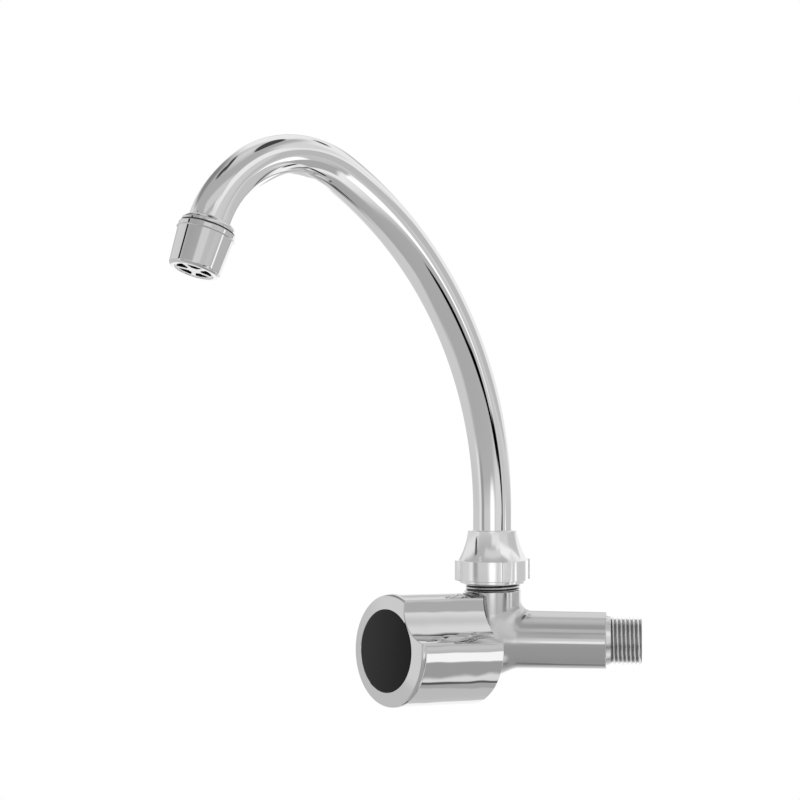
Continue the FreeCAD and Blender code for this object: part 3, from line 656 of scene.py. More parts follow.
def rib_outline():
    """Points of the ribbed ring's plan outline."""
    corners = []
    half = nut_rib_width / 2
    rib_x = nut_ring_r + nut_rib_rise
    root_x = math.sqrt(nut_ring_r ** 2 - half ** 2)
    for index in range(nut_ribs):
        turn = nut_rib_turn + index * 2 * math.pi / nut_ribs
        gap_middle = turn - math.pi / nut_ribs
        swing = (nut_ring_r * math.cos(gap_middle), nut_ring_r * math.sin(gap_middle))
        for number, (x, y, rounding) in enumerate((
                (root_x, -half, 0), (rib_x, -half, nut_rib_round),
                (rib_x, half, nut_rib_round), (root_x, half, 0))):
            spot = (x * math.cos(turn) - y * math.sin(turn),
                    x * math.sin(turn) + y * math.cos(turn), rounding)
            corners.append(spot + ((swing,) if number == 0 else ()))
    rings = []
    for stretch in eased(corners, steps=7):
        if len(stretch) == 2:
            stretch = np.linspace(stretch[0], stretch[1], 7)
        rings.append(stretch[:-1])
    return np.concatenate(rings)


rib_plan = rib_outline()
rib_edge = np.roll(rib_plan, -1, axis=0) - np.roll(rib_plan, 1, axis=0)
rib_outward = np.stack([rib_edge[:, 1], -rib_edge[:, 0]], axis=1)
rib_outward /= np.linalg.norm(rib_outward, axis=1, keepdims=True)
rib_angles = np.unwrap(np.arctan2(rib_plan[:, 1], rib_plan[:, 0]))


def drawn_in(plan, outward, inset, height):
    """Ring of an outline drawn in by an inset."""
    return np.column_stack([plan - outward * inset, np.full(len(plan), height)])


def edge_round(plan, outward, edge, height, rise):
    """Rounding from a flat face out to the wall that rises from it, or falls at a rise of -1."""
    return np.stack([drawn_in(plan, outward, edge * (1 - math.sin(turn)),
                              height + rise * edge * (1 - math.cos(turn)))
                     for turn in np.linspace(0, math.pi / 2, 7)])


nut_ring_bottom = nut_lip_bottom + nut_lip_height
nut_ring_top = nut_ring_bottom + nut_ring_height
nut_top = nut_ring_top + nut_bell_len
lip_outline = eased([
    (nut_ring_bottom, nut_thread_bore_r, 0), (nut_lip_bottom, nut_thread_bore_r, 0),
    (nut_lip_bottom, nut_lip_r, nut_edge), (nut_ring_bottom, nut_lip_r, 0)], closed=False)
bell_outline = eased([
    (nut_ring_top, nut_bell_r, 0),
    (nut_top - nut_bell_rim, nut_top_r, 0, (nut_ring_top + nut_bell_waist_up, nut_bell_waist_r)),
    (nut_top, nut_top_r, nut_edge), (nut_top, nut_hole_r, nut_edge),
    (nut_top - nut_hole_len, nut_hole_r, 0),
    (nut_ring_top + nut_hollow_up, nut_hole_r + nut_hollow_rise, 0),
    (nut_ring_top, nut_thread_bore_r, 0), (nut_ring_bottom, nut_thread_bore_r, 0)], closed=False)
lip_grids = [ring_grid(stretch, rib_angles) for stretch in lip_outline]
bell_grids = [ring_grid(stretch, rib_angles) for stretch in bell_outline]
rib_foot = edge_round(rib_plan, rib_outward, nut_edge, nut_ring_bottom, 1)
rib_head = edge_round(rib_plan, rib_outward, nut_edge, nut_ring_top, -1)[::-1]
nut_skin = new_skin()
lay_stretches(nut_skin, [
    *lip_grids, np.stack([lip_grids[-1][-1], rib_foot[0]]), rib_foot,
    np.stack([rib_foot[-1], rib_head[0]]), rib_head,
    np.stack([rib_head[-1], bell_grids[0][0]]), *bell_grids], None, list(range(len(rib_plan))))
nut_chrome = chrome_finish("nut_chrome", tone=0.97, ripple_size=70.0, ripple_depth=0.10,
                           clear=0.11, hazy=0.18)
make_piece("bell_nut", nut_skin, spout_frame, "tap", nut_chrome, "chrome", "swivel_nut")


# Spout foot, slip rings and seals
# The turned brass foot of the spout swings in the neck between two acetal rings, and two
# rubber rings seal it. The neck and the nut hide them all.
def make_grain_group():
    """Fine grain of a turned, moulded or fired surface."""
    group, ins, outs = node_group("grain", {"Grain size": 900.0, "Smooth": 0.3, "Rough": 0.5},
                                  ["Roughness", "Height", "Shade"])
    place = add_node(group, "TexCoord").outputs["Object"]
    grain = add_node(group, "TexNoise", {"Vector": place, "Scale": ins["Grain size"],
                                         "Detail": 4.0})
    spread = add_node(group, "MapRange", {
        "Value": grain.outputs["Fac"], "From Min": 0.3, "From Max": 0.7,
        "To Min": ins["Smooth"], "To Max": ins["Rough"]})
    cloud = add_node(group, "TexNoise", {"Vector": place, "Scale": 130.0})
    group.links.new(grain.outputs["Fac"], outs["Height"])
    group.links.new(spread.outputs["Result"], outs["Roughness"])
    group.links.new(cloud.outputs["Fac"], outs["Shade"])
    return group


grain_group = make_grain_group()


def plain_finish(name, dark, light, metal, grain_size, grain_depth, smooth, rough):
    """Uncoated finish of a hidden piece, mottled between two near colours."""
    grain = {"Grain size": grain_size, "Smooth": smooth, "Rough": rough}
    return textured_finish(name, grain_group, grain, grain_depth, metal, dark, light)


def finish_node(material, slot, *names):
    """Gives carried-over pieces their finish."""
    for name in names:
        node = bpy.data.objects[name]
        node.data.materials.clear()
        node.data.materials.append(material)


turned_brass = plain_finish("turned_brass", (0.58, 0.39, 0.15, 1), (0.70, 0.50, 0.22, 1),
                            metal=1.0, grain_size=1400.0, grain_depth=0.02, smooth=0.22,
                            rough=0.38)
slip_plastic = plain_finish("slip_plastic", (0.80, 0.79, 0.74, 1), (0.86, 0.85, 0.81, 1),
                            metal=0.0, grain_size=1100.0, grain_depth=0.02, smooth=0.38,
                            rough=0.52)
rubber = plain_finish("rubber", (0.018, 0.018, 0.019, 1), (0.030, 0.030, 0.031, 1),
                      metal=0.0, grain_size=1600.0, grain_depth=0.03, smooth=0.55, rough=0.75)
finish_node(turned_brass, "brass", "spout_foot")
finish_node(slip_plastic, "slip_plastic", "neck_slip_ring", "nut_slip_ring")
finish_node(rubber, "rubber", "spout_orings")


# Spout tube
# A drawn brass tube is bent through a long sweep and a tight crook, polished and chromed, and
# brazed into a turned foot below and a turned ring at its tip.
tube_r = 8.8
tube_wall = 1.0
tube_foot = 37.5
tube_straight_top = 56.8
sweep_r = 164.6
sweep_turn = math.radians(60.5)
crook_r = 44.9
crook_turn = math.radians(99)
tip_socket_len = 5.0
tube_sides = 128

spout_ahead = Vector((valve_along.x, valve_along.y, 0)).normalized()
spout_across = up.cross(spout_ahead)


def tube_line():
    """Marks along the tube's centre line as (ahead, height, lean from upright)."""
    marks = [(0.0, height, 0.0) for height in np.linspace(tube_foot, tube_straight_top, 6)]
    for turn in np.linspace(0, sweep_turn, 46)[1:]:
        marks.append((sweep_r * (1 - math.cos(turn)), tube_straight_top
                      + sweep_r * math.sin(turn), turn))
    ahead, height, lean = marks[-1]
    middle = (ahead + crook_r * math.cos(lean), height - crook_r * math.sin(lean))
    for turn in lean + np.linspace(0, crook_turn, 64)[1:]:
        marks.append((middle[0] - crook_r * math.cos(turn), middle[1] + crook_r * math.sin(turn),
                      turn))
    return marks


tube_marks = tube_line()
tip_ahead, tip_height, tip_lean = tube_marks[-1]
tip_along = spout_ahead * math.sin(tip_lean) + up * math.cos(tip_lean)
tip_base = spout_base + spout_ahead * tip_ahead + up * tip_height
tip_frame = placed(tip_base, spout_across, tip_along)
tube_marks.append((tip_ahead + tip_socket_len * math.sin(tip_lean),
                   tip_height + tip_socket_len * math.cos(tip_lean), tip_lean))


def tube_grid(radius):
    """Rings round the tube's centre line and the directions that they face."""
    spin = even_angles(tube_sides)[:, None]
    rings = []
    facing = []
    for ahead, height, lean in tube_marks:
        outward = np.array(spout_ahead * math.cos(lean) - up * math.sin(lean))
        spokes = np.cos(spin) * np.array(spout_across) + np.sin(spin) * outward
        middle = np.array(spout_base + spout_ahead * ahead + up * height)
        rings.append(middle + radius * spokes)
        facing.append(spokes)
    return np.stack(rings), np.stack(facing)


tube_skin = new_skin()
outer_grid, outer_facing = tube_grid(tube_r)
inner_grid, inner_facing = tube_grid(tube_r - tube_wall)
lay_stretches(tube_skin, [
    (outer_grid, outer_facing), np.stack([outer_grid[-1], inner_grid[-1]]),
    (inner_grid[::-1], inner_facing[::-1]), np.stack([inner_grid[0], outer_grid[0]])],
    None, list(range(tube_sides)))
tube_chrome = chrome_finish("tube_chrome", tone=0.91, ripple_size=28.0, ripple_depth=0.10,
                            clear=0.01, hazy=0.03)
make_piece("gooseneck", tube_skin, Matrix.Identity(4), "spout", tube_chrome, "chrome",
           "spout_tube")


# Tip ring
# A turned ferrule brazed on the tube's tip carries the thread for the flow straightener. Its
# shoulder shows above the sleeve, and a thin black seam parts the two.
tip_start_r = 9.3
tip_shoulder_len = 1.7
tip_shoulder_r = 11.0
tip_shoulder_round = 2.0
tip_swell_share = 0.35
tip_swell_drop = 0.6
tip_land_top = 3.2
tip_edge = 0.15
tip_thread_r = 9.65
tip_ring_end = 10.6
tip_end_round = 0.2
tip_bore_r = 7.25
seam_bottom = tip_land_top - 0.35
seam_top = tip_land_top + 0.38
seam_inner_r = tip_thread_r + 0.05
seam_r = tip_shoulder_r + 0.12
seam_edge = 0.1

tip_skin = turned_skin([
    (0, tube_r, 0), (0, tip_start_r, tip_edge),
    (tip_shoulder_len * tip_swell_share, tip_shoulder_r - tip_swell_drop,
     tip_shoulder_round),
    (tip_shoulder_len, tip_shoulder_r, tip_shoulder_round),
    (tip_land_top, tip_shoulder_r, tip_edge), (tip_land_top, tip_thread_r, 0),
    (tip_ring_end, tip_thread_r, tip_end_round), (tip_ring_end, tip_bore_r, 0),
    (tip_socket_len, tip_bore_r, 0), (tip_socket_len, tube_r, 0)])
sleeve_chrome = chrome_finish("sleeve_chrome", tone=0.78, ripple_size=90.0, ripple_depth=0.05,
                              clear=0.01, hazy=0.05)
make_piece("tip_ferrule", tip_skin, tip_frame, "spout", sleeve_chrome, "chrome", "tip_ring")
seam_skin = turned_skin([(seam_bottom, seam_inner_r, 0), (seam_bottom, seam_r, seam_edge),
                         (seam_top, seam_r, seam_edge), (seam_top, seam_inner_r, 0)])
make_piece("seam_ring", seam_skin, tip_frame, "spout", rubber, "rubber", "tip_ring")


# Flow straightener sleeve
# A turned, chromed sleeve screws on the tip ring and narrows a little to its rounded outlet.
housing_start = 3.6
housing_end = 21.5
housing_top_r = 11.75
housing_top_round = 0.35
housing_taper = 1.3
housing_ridge_up = 2.15
housing_ridge_r = 12.1
housing_ridge_foot_r = 11.61
housing_ridge_end_r = 11.57
housing_ridge_half = 0.3
housing_ridge_edge = 0.1
housing_ridge_round = 0.08
housing_edge_round = 1.5
housing_lip_len = 1.4
housing_bore_r = 9.7
outlet_r = 7.95
outlet_edge = 0.3
insert_end = housing_end - housing_lip_len
insert_body_r = 8.2
insert_shoulder = 13.7
insert_shoulder_len = 1.0
insert_gap = 0.05

ridge_top = housing_start + housing_ridge_up
sleeve_skin = turned_skin([
    (housing_start, housing_bore_r, 0), (housing_start, housing_top_r, housing_top_round),
    (ridge_top - housing_ridge_half, housing_ridge_foot_r, housing_ridge_edge),
    (ridge_top, housing_ridge_r, housing_ridge_round),
    (ridge_top + housing_ridge_half, housing_ridge_end_r, housing_ridge_edge),
    (housing_end, housing_top_r - housing_taper, housing_edge_round),
    (housing_end, outlet_r, outlet_edge), (insert_end, outlet_r, 0),
    (insert_end, insert_body_r + insert_gap, 0),
    (insert_shoulder + insert_shoulder_len, insert_body_r + 2 * insert_gap, 0),
    (insert_shoulder, housing_bore_r, 0)], steps=8)
make_piece("outlet_sleeve", sleeve_skin, tip_frame, "spout", sleeve_chrome, "chrome",
           "aerator_housing")


# Flow straightener
# A moulded insert behind a steel mesh straightens the water, sealed to the tip ring by a
# rubber washer. Only its white star shows, from below, and the dark between its spokes: the white
# plastic behind the star's face and the mesh are painted near black as painted shade.
star_face = housing_end - 0.4
star_r = outlet_r - 0.05
star_rim_r = 7.2
star_hub_r = 2.9
star_spokes = 5
star_spoke_width = 1.7
star_turn = math.radians(-4)
window_columns = 8
white_depth = 0.1
white_fade = 0.1


def star_ring(radius, height):
    """Ring of points whose spoke edges keep the spokes' width at any radius."""
    slant = math.asin(star_spoke_width / 2 / radius)
    pitch = 2 * math.pi / star_spokes
    turns = [star_turn + spoke * pitch + turn for spoke in range(star_spokes)
             for turn in [-slant, *np.linspace(slant, pitch - slant, window_columns)[:-1]]]
    return [(radius * math.cos(turn), radius * math.sin(turn), height) for turn in turns]


def star_skin():
    """White star of spokes between a hub and a rim, flat on both sides."""
    radii = (star_hub_r, star_rim_r, star_r)
    front = [star_ring(radius, star_face) for radius in radii]
    back = [star_ring(radius, insert_end) for radius in radii]
    columns = len(front[0])
    skin = new_skin()
    skin["points"] = [np.array(point) for ring in front + back for point in ring]
    skin["points"] += [np.array((0, 0, star_face)), np.array((0, 0, insert_end))]
    middle = 6 * columns

    def lay(*corners):
        spots = [skin["points"][corner] for corner in corners]
        facing = np.cross(spots[1] - spots[0], spots[2] - spots[1])
        skin["faces"].append(list(corners))
        skin["normals"].extend([facing / np.linalg.norm(facing)] * len(corners))

    def walls(ring, column, other):
        near, far = ring * columns, (ring + 3) * columns
        return near + column, far + column, far + other, near + other

    for column in range(columns):
        other = (column + 1) % columns
        lay(middle, column, other)
        lay(middle + 1, 3 * columns + other, 3 * columns + column)
        solid_rings = [1, 0] if column % (columns // star_spokes) == 0 else [1]
        for ring in solid_rings:
            inner, outer = ring * columns, (ring + 1) * columns
            lay(inner + column, outer + column, outer + other, inner + other)
            inner, outer = inner + 3 * columns, outer + 3 * columns
            lay(inner + other, outer + other, outer + column, inner + column)
        lay(*walls(2, column, other))
        if len(solid_rings) == 1:
            lay(*walls(0, column, other))
            lay(*walls(1, column, other)[::-1])
        else:
            for edge, flip in ((column, -1), (other, 1)):
                lay(*(edge, columns + edge, 4 * columns + edge, 3 * columns + edge)[::flip])
    return skin


white_plastic = plain_finish("white_plastic", (0.92, 0.92, 0.91, 1), (0.95, 0.95, 0.94, 1),
                             metal=0.0, grain_size=1000.0, grain_depth=0.001, smooth=0.50,
                             rough=0.60)
# Painted shade: the steel screen is painted near black, standing in for the shade behind the
# star.
painted_shade_mesh = plain_finish("painted_shade_mesh", (0.020, 0.020, 0.020, 1), (0.035, 0.035, 0.035, 1),
                         metal=0.0, grain_size=2200.0, grain_depth=0.01, smooth=0.5, rough=0.7)
screen_steel = plain_finish("screen_steel", (0.48, 0.48, 0.47, 1), (0.60, 0.60, 0.59, 1),
                            metal=1.0, grain_size=2200.0, grain_depth=0.02, smooth=0.25,
                            rough=0.40)
insert_turn = bpy.data.objects["aerator_insert"].matrix_world.inverted()
face_spot = insert_turn @ ((tip_base + tip_along * (star_face - white_depth)) * mm)
face_along = (insert_turn.to_3x3() @ tip_along).normalized()
face_height = face_spot.dot(face_along)
white_tree = white_plastic.node_tree
white_tree.nodes["Principled BSDF"].inputs["Specular IOR Level"].default_value = 0.08
# Painted shade: the white plastic is painted near black behind a plane just under the star's
# face, where the recess lies in shade.
white_height = vector_step(white_tree, "DOT_PRODUCT",
                           add_node(white_tree, "TexCoord").outputs["Object"], face_along)
painted_shade_behind_face = share_of(white_tree, white_height, face_height, face_height - white_fade * mm)
repaint(white_plastic, painted_shade_behind_face, tone=0.01)
finish_node(white_plastic, "white_plastic", "aerator_insert")
finish_node(painted_shade_mesh, "steel", "aerator_screen")
finish_node(rubber, "rubber", "aerator_washer")
make_piece("outlet_star", star_skin(), tip_frame, "spout", white_plastic, "white_plastic")


# Valve headwork
# A brass headwork screws into the branch and carries a spindle, which turns one ceramic disc
# over another. The knob's cup hides it all but for a look in from behind.
ceramic = plain_finish("ceramic", (0.78, 0.77, 0.72, 1), (0.86, 0.85, 0.81, 1), metal=0.0,
                       grain_size=1800.0, grain_depth=0.005, smooth=0.12, rough=0.24)
finish_node(turned_brass, "brass", "cartridge_body", "spindle")
finish_node(slip_plastic, "slip_plastic", "cartridge_gasket", "thrust_washer", "knob_hub")
finish_node(rubber, "rubber", "seat_seal", "spindle_orings")
finish_node(ceramic, "ceramic", "fixed_disc", "moving_disc")
finish_node(screen_steel, "steel", "spindle_circlip", "knob_screw")


# Knob shell
# The knob is a die-cast zinc cup, polished and chromed. A single flute for the thumb runs along
# it, and its crowned face has a seat for the black disc. Its inside is left unpolished and
# painted near black as painted shade.
knob_r = 24.6
knob_draft = 0.45
knob_back = 14.5
knob_front = 58.7
knob_wall = 2.5
knob_edge_round = 1.8
knob_back_round = 0.5
cap_r = 17.5
cap_bottom = 56.8
cap_top = 60.0
seat_r = 17.55
flute_r = 20.9
flute_turn = math.radians(39)
flute_ridge_round = 0.5
flute_edge_round = 0.35
flute_reach = 39.0
cavity_top = 54.3
boss_r = 9.5
hub_bottom = 43.8
hub_socket_r = 7.05
hub_top = 51.8
screw_hole_r = 2.25
pocket_floor = 53.8
pocket_r = 6.0
cap_ledge = 2.4
cap_ledge_depth = 1.25
seat_lip_drop = 0.05
seat_lip_flare = 0.1
seat_lip_len = 0.2


def fluted_plan(knob_r):
    """Plan outline of the knob as points and outward directions, the flute on +X."""
    ridge = flute_ridge_round
    ridge_x = (((knob_r - ridge) ** 2 + flute_reach ** 2 - (flute_r + ridge) ** 2)
               / (2 * flute_reach))
    ridge_y = math.sqrt((knob_r - ridge) ** 2 - ridge_x ** 2)
    edge = math.atan2(ridge_y, ridge_x)
    dip = math.atan2(ridge_y, flute_reach - ridge_x)
    main = np.linspace(edge, 2 * math.pi - edge, 160)
    main_points = knob_r * np.stack([np.cos(main), np.sin(main)], axis=1)
    main_facing = main_points / knob_r
    flute = np.linspace(math.pi + dip, math.pi - dip, 64)
    flute_facing = -np.stack([np.cos(flute), np.sin(flute)], axis=1)
    flute_points = np.array([flute_reach, 0]) - flute_r * flute_facing
    low = np.linspace(2 * math.pi - edge, 2 * math.pi + dip, 14)
    low_facing = np.stack([np.cos(low), np.sin(low)], axis=1)
    low_points = np.array([ridge_x, -ridge_y]) + ridge * low_facing
    high_facing = low_facing[::-1] * [1, -1]
    high_points = low_points[::-1] * [1, -1]
    points = np.concatenate([main_points, low_points[1:-1], flute_points, high_points[1:-1]])
    facing = np.concatenate([main_facing, low_facing[1:-1], flute_facing, high_facing[1:-1]])
    turn = np.array([[math.cos(flute_turn), -math.sin(flute_turn)],
                     [math.sin(flute_turn), math.cos(flute_turn)]])
    return points @ turn.T, facing @ turn.T


back_plan, knob_facing = fluted_plan(knob_r)
knob_front_r = knob_r - knob_draft
knob_plan, knob_facing = fluted_plan(knob_front_r)
knob_reach = np.linalg.norm(knob_plan, axis=1)
knob_spokes = knob_plan / knob_reach[:, None]
knob_angles = np.unwrap(np.arctan2(knob_spokes[:, 1], knob_spokes[:, 0]))
rim_r = knob_front_r - knob_edge_round
rim_height = knob_front - knob_edge_round
face_slope = math.atan2(cap_top - knob_front, rim_r - seat_r)
face_tilt = math.pi / 2 - face_slope


def knob_top(reach):
    """Height of the rounding's centre inside the knob's top, and the angle where it leaves."""
    inner = reach - flute_edge_round
    small = knob_edge_round - flute_edge_round
    rim = rim_height + math.sqrt(max(small ** 2 - max(inner - rim_r, 0) ** 2, 0))
    leave = math.atan2(rim - rim_height, inner - rim_r) if inner > rim_r else math.pi / 2
    turn_r = rim_r + small * math.cos(face_tilt)
    if inner > turn_r:
        return rim, leave
    foot = rim_height + small * math.sin(face_tilt)
    return foot + (turn_r - inner) * math.tan(face_slope), face_tilt


def on_arc(flat, angle, reach=0.0, height=0.0, radius=1.0):
    """Point of an arc that rises from a flat direction, or the direction that it faces."""
    return [*(flat * (reach + radius * math.cos(angle))), height + radius * math.sin(angle)]


def knob_front_grids():
    """Wall rounding and rim of the knob as two stretches, each with the way it faces."""
    steps = 8
    rounding, rounding_facing = np.empty((2, steps + 1, len(knob_plan), 3))
    rim, rim_facing = np.empty((2, 2 * steps + 1, len(knob_plan), 3))
    for column, (spoke, reach, facing) in enumerate(zip(knob_spokes, knob_reach, knob_facing)):
        centre_height, leave = knob_top(reach)
        for step, share in enumerate(np.linspace(0, 1, steps + 1)):
            rounding[step, column] = on_arc(spoke, leave * share, reach - flute_edge_round,
                                            centre_height, flute_edge_round)
            flat = facing * (1 - share) + spoke * share
            rounding_facing[step, column] = on_arc(flat / np.linalg.norm(flat), leave * share)
        for step, share in enumerate(np.linspace(0, 1, 2 * steps + 1)):
            angle = leave + (face_tilt - leave) * share
            if leave >= face_tilt:
                rim[step, column] = rounding[steps, column]
                angle = face_tilt
            else:
                rim[step, column] = on_arc(spoke, angle, rim_r, rim_height, knob_edge_round)
            rim_facing[step, column] = on_arc(spoke, angle)
    return (rounding, rounding_facing), (rim, rim_facing)


def knob_inside_reach():
    """Distance from the axis to the cup's inside along each spoke."""
    centre = flute_reach * np.array([math.cos(flute_turn), math.sin(flute_turn)])
    wall = flute_r + knob_wall
    beside = knob_spokes @ centre
    under = beside ** 2 - (centre @ centre - wall ** 2)
    near = np.where(under > 0, beside - np.sqrt(np.maximum(under, 0)), np.inf)
    near = np.where(near > 0, near, np.inf)
    return np.minimum(knob_r - knob_wall, near)


def knob_steps(*rings):
    """Straight stretches between rings on the knob's spokes, given as (height, reach)."""
    grids = [np.column_stack([knob_spokes * np.reshape(reach, (-1, 1)),
                              np.full(len(knob_spokes), height)]) for height, reach in rings]
    return [np.stack(pair) for pair in zip(grids, grids[1:])]


inside_reach = knob_inside_reach()
back_round = edge_round(back_plan, knob_facing, knob_back_round, knob_back, 1)
rounding, rim = knob_front_grids()
wall_facing = np.column_stack([knob_facing, np.zeros(len(knob_plan))])
screw_ledge = cap_bottom - cap_ledge_depth
seat_steps = knob_steps(
    (cap_top - seat_lip_drop, seat_r + seat_lip_flare), (cap_top - seat_lip_len, seat_r),
    (cap_bottom, seat_r),
    (cap_bottom, cap_r - cap_ledge), (screw_ledge, cap_r - cap_ledge), (screw_ledge, pocket_r),
    (pocket_floor, pocket_r), (pocket_floor, screw_hole_r), (hub_top, screw_hole_r),
    (hub_top, hub_socket_r), (hub_bottom, hub_socket_r), (hub_bottom, boss_r),
    (cavity_top, boss_r))
cup_steps = knob_steps((cavity_top, boss_r), (cavity_top, inside_reach),
                       (knob_back, inside_reach))
knob_skin = new_skin()
knob_row = lay_stretches(knob_skin, [
    np.stack([cup_steps[-1][-1], back_round[0]]), back_round,
    (np.stack([back_round[-1], rounding[0][0]]), np.stack([wall_facing] * 2)), rounding, rim,
    (np.stack([rim[0][-1], seat_steps[0][0]]), np.stack([rim[1][-1]] * 2)), *seat_steps])
polished_faces = len(knob_skin["faces"])
lay_stretches(knob_skin, cup_steps, knob_row, list(range(len(knob_plan))))
knob_chrome = chrome_finish("knob_chrome", tone=0.76, ripple_size=52.0, ripple_depth=0.30,
                            clear=0.01, hazy=0.03)
fluted_knob = make_piece("fluted_knob", knob_skin, valve_frame, "handle", knob_chrome, "chrome",
                         "knob_shell")
# Painted shade: the faces of the cup's inside are marked and painted near black.
cup_inside_shade = fluted_knob.data.attributes.new("cup_inside_shade", "FLOAT", "FACE")
cup_inside_shade.data.foreach_set("value", [float(face >= polished_faces)
                                      for face in range(len(knob_skin["faces"]))])
cup_shade_share = add_node(knob_chrome.node_tree, "Attribute", attribute_name="cup_inside_shade")
repaint(knob_chrome, cup_shade_share.outputs["Fac"], tone=0.03, roughness=0.45)


# Black disc
# A glossy black acrylic disc is pressed into the knob's face and hides the screw.
cap_foot_round = 0.1
cap_edge_round = 0.5
lit_end = -14
black_end = 16

disc_skin = turned_skin([(cap_bottom, 0, 0), (cap_bottom, cap_r, cap_foot_round),
                         (cap_top, cap_r, cap_edge_round), (cap_top, 0, 0)], steps=8)
black_gloss, black_tree, black_shader = new_material("black_gloss")
# Painted sheen: the disc's black is painted lighter towards one side and deep black towards the
# other, a painted reflection of soft light along that side.
disc_side = vector_step(black_tree, "DOT_PRODUCT",
                        add_node(black_tree, "TexCoord").outputs["Object"], valve_across)
disc_middle = valve_base @ valve_across
disc_sheen_share = share_of(black_tree, disc_side, (disc_middle + lit_end) * mm,
                      (disc_middle + black_end) * mm)
set_inputs(black_tree, black_shader, {
    "Roughness": 0.16, "Specular IOR Level": 0.17,
    "Base Color": blend(black_tree, disc_sheen_share, (0.020, 0.020, 0.021, 1), grey(0.002))})
make_piece("black_disc", disc_skin, valve_frame, "handle", black_gloss, "black_gloss",
           "knob_cap")


# Studio
# The tap hangs in a pale tent over a pale floor. The chrome shows the tent's soft walls, and
# the white and grey cards and thin black flags that give it its lines.
tent_tones = [(-90, 0.392), (-60, 0.421), (-25, 0.433), (-10, 0.464), (-3, 0.644), (3, 0.659),
              (12, 0.543), (30, 0.446), (65, 0.433), (78, 0.614), (90, 0.706)]
matt_light = 1.05
backdrop_tone = 1.0
floor_height = -0.30
floor_half = 6


def make_card_group(name, rounded):
    """Soft-edged card seen in one direction: 1 on the card and 0 off it."""
    group, ins, outs = node_group(
        name, {"Direction": (0, 0, 0), "Across": (1, 0, 0), "Upward": (0, 0, 1),
               "Ahead": (0, 1, 0), "Half width": 0.1, "Half height": 0.1, "Softness": 0.02},
        ["Card"])

    def along(side):
        return vector_step(group, "DOT_PRODUCT", ins["Direction"], ins[side])

    def step(operation, *values):
        return math_step(group, operation, *values)

    def fading(distance, half):
        """Falls from 1 to 0 as the distance passes the card's edge."""
        inner = step("SUBTRACT", half, ins["Softness"])
        outer = step("ADD", half, ins["Softness"])
        return add_node(group, "MapRange", {"Value": distance, "From Min": inner,
                                            "From Max": outer, "To Min": 1.0, "To Max": 0.0},
                        interpolation_type="SMOOTHSTEP").outputs["Result"]

    turn = step("ARCTAN2", along("Across"), along("Ahead"))
    rise = step("ARCSINE", along("Upward"))
    width, height = ins["Half width"], ins["Half height"]
    if rounded:
        smaller = step("MINIMUM", width, height)
        wide = step("DIVIDE", turn, width)
        high = step("DIVIDE", rise, height)
        reach = step("SQRT", step("ADD", step("MULTIPLY", wide, wide),
                                  step("MULTIPLY", high, high)))
        card = fading(step("MULTIPLY", reach, smaller), smaller)
    else:
        card = step("MULTIPLY", fading(step("ABSOLUTE", turn), width),
                    fading(step("ABSOLUTE", rise), height))
    group.links.new(card, outs["Card"])
    return group


square_card = make_card_group("square_card", False)
round_card = make_card_group("round_card", True)
world = bpy.data.worlds.new("tent")
world.use_nodes = True
tent = world.node_tree
towards = add_node(tent, "TexCoord").outputs["Generated"]
rise = math_step(tent, "ARCSINE", add_node(tent, "SeparateXYZ", {0: towards}).outputs["Z"])
tent_ramp = add_node(tent, "ValToRGB", {"Fac": share_of(tent, rise, -math.pi / 2, math.pi / 2)})
tent_marks = tent_ramp.color_ramp.elements
while len(tent_marks) > 1:
    tent_marks.remove(tent_marks[-1])
for number, (elevation, tone) in enumerate(tent_tones):
    share = (elevation + 90) / 180
    mark = tent_marks.new(share) if number else tent_marks[0]
    mark.position = share
    mark.color = grey(tone)
tent_tone = tent_ramp.outputs["Color"]


def hang_card(behind, azimuth, elevation, half_width, half_height, softness, tone, tilt=0,
              group=square_card):
    """Tent with one more card, over those hung before it. Angles are degrees."""
    turn, lift, lean = (math.radians(angle) for angle in (azimuth, elevation, tilt))
    ahead = Vector((math.cos(lift) * math.cos(turn), math.cos(lift) * math.sin(turn),
                    math.sin(lift)))
    level = Vector((-math.sin(turn), math.cos(turn), 0))
    square_up = ahead.cross(level)
    card = add_node(tent, "Group", {
        "Direction": towards, "Ahead": ahead,
        "Across": level * math.cos(lean) + square_up * math.sin(lean),
        "Upward": square_up * math.cos(lean) - level * math.sin(lean),
        "Half width": math.radians(half_width), "Half height": math.radians(half_height),
        "Softness": math.radians(softness)}, node_tree=group)
    return blend(tent, card.outputs["Card"], behind, tone)


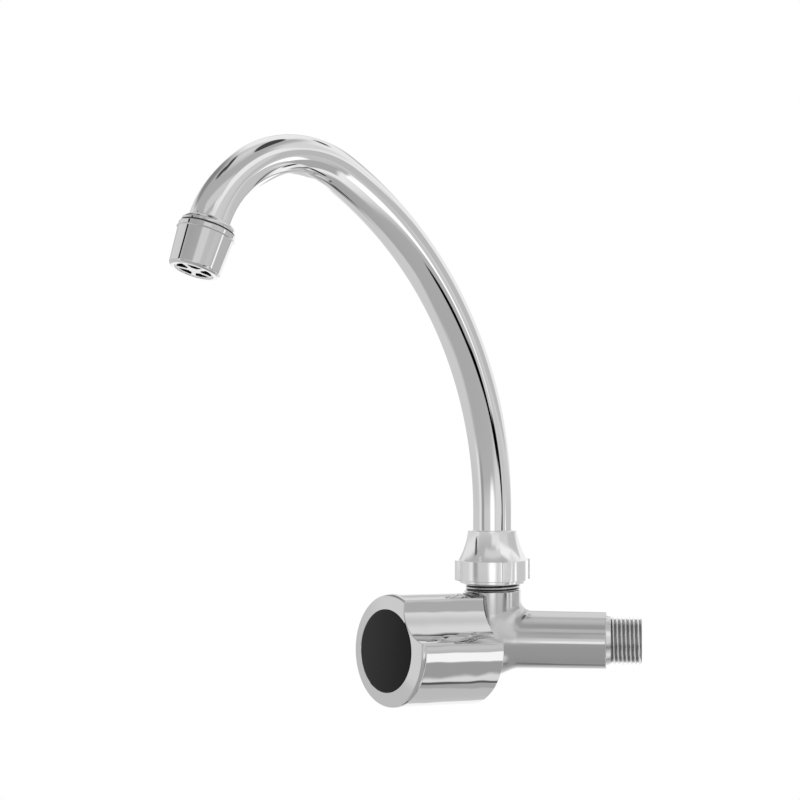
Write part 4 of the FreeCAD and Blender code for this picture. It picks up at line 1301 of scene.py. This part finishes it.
# Azimuth, elevation, half width, half height, softness and tone of each card, and the tilt
# and the kind of those that lean or are round.
for card in (
        (-110, -28, 42, 24, 10, 0.64),
        (-100, 20, 34, 12, 7, 0.77),
        (70, 34, 41, 9.5, 2.6, 0.89),
        (70, 17, 36, 8, 5, 0.64),
        (17, 20, 15, 10, 4.5, 0.77),
        (108, 45, 22, 12, 6, 0.71),
        (-68, -3, 9, 15, 4, 0.79),
        (-115, -61, 26, 14, 5, 0.64),
        (-125, 44, 20, 9, 7, 0.24, 35),
        (-114, 36, 12, 7, 5, 0.26, 20, round_card),
        (-150, 26, 9, 15, 5, 1.14, -35, round_card),
        (-170, -14, 18, 32, 8, 1.12),
        (-176, 50, 20, 22, 8, 0.89),
        (150, 28, 28, 26, 8, 0.88),
        (168, 26, 9, 3.5, 4, 0.38, -20, round_card),
        (101, 13.5, 24, 11.5, 1.2, 0.52),
        (105, -12, 30, 10, 3, 0.57),
        (86, 4.5, 3.6, 3.2, 1, 0.69),
        (85.3, -10.6, 3.4, 7.2, 1.2, 1.19),
        (69, -8, 2.6, 3, 1, 1.19),
        (57, -42, 6, 10, 4, 0.61, -12),
        (162, -26, 22, 28, 7, 1.09),
        (158, -30, 2.5, 22, 3, 0.5, -42),
        (173, -46, 9, 6, 2, 0.66),
        (145, -46, 4, 9, 3, 0.5, 0, round_card),
        (125, -52, 25, 7, 4, 0.63),
        (120, -35, 14, 7, 4, 0.97),
        (80, -42, 21, 20, 6, 0.88),
        (82, -33, 11.5, 15, 2, 0.42),
        (65, -17, 2.8, 11.5, 1.1, 1.19, -19),
        (103, -32.5, 6, 2.6, 1, 0, 0, round_card),
        (123, -24, 19, 1.4, 0.9, 0.06, 15, round_card),
        (104, -58, 2.6, 12, 1.2, 0.02),
        (-137, -77, 8, 3.4, 1.2, 0.03, 0, round_card),
        (115, -50.5, 8, 2.2, 1, 0.47),
        (112, -46, 7, 1.8, 1.2, 0.1, 30, round_card),
        (148, 46.5, 8, 2.6, 1.4, 0.06, 0, round_card),
        (5, 43, 26, 7, 3, 0.63),
        (-1, 5, 8, 6, 4, 0.82),
        (4, -3.4, 12, 4.8, 2.6, 1.17, 0, round_card),
        (42, -4, 18, 5, 4, 0.72),
        (-53, -7, 8, 9, 5, 0.33),
        (43.5, -21, 5.6, 8.5, 0.9, 0, -14, round_card),
        (48.5, -11, 5.6, 4.4, 0.8, 0, 35, round_card),
        (57.5, -5.6, 8.6, 1.7, 0.6, 0, 17, round_card),
        (-82, 74, 12, 3.6, 1, 0.05, 0, round_card),
        (-72, 67, 6.5, 6.5, 1.2, 0.06, 10, round_card),
        (115, 75, 16, 7.3, 0.9, 0.06, -10, round_card),
        (-150, -71, 12, 4, 3, 0.13, 0, round_card),
        (-71, 24, 3.8, 12, 0.8, 0, -12)):
    tent_tone = hang_card(tent_tone, *card)
ray = add_node(tent, "LightPath").outputs
tent_light = blend(tent, ray["Is Diffuse Ray"], tent_tone, matt_light)
backdrop = blend(tent, ray["Is Camera Ray"], tent_light, backdrop_tone)
set_inputs(tent, tent.nodes["Background"], {"Color": grey(1), "Strength": backdrop})
bpy.context.scene.world = world

floor_mesh = bpy.data.meshes.new("floor")
floor_mesh.from_pydata([(x * floor_half, y * floor_half, floor_height)
                        for x, y in ((-1, -1), (1, -1), (1, 1), (-1, 1))], [], [(0, 1, 2, 3)])
floor = new_object("floor", floor_mesh)
floor_paint, floor_tree, floor_shader = new_material("floor_paint")
set_inputs(floor_tree, floor_shader, {"Base Color": grey(0.9), "Roughness": 0.8})
floor_glow = add_node(floor_tree, "Emission", {"Color": grey(1), "Strength": backdrop_tone})
floor_seen = add_node(floor_tree, "LightPath").outputs["Is Camera Ray"]
floor_mix = add_node(floor_tree, "MixShader", {0: floor_seen, 1: floor_shader.outputs[0],
                                               2: floor_glow.outputs[0]})
set_inputs(floor_tree, floor_tree.nodes["Material Output"], {"Surface": floor_mix.outputs[0]})
floor_mesh.materials.append(floor_paint)
floor.visible_glossy = False
bpy.context.scene.view_settings.view_transform = "Standard"
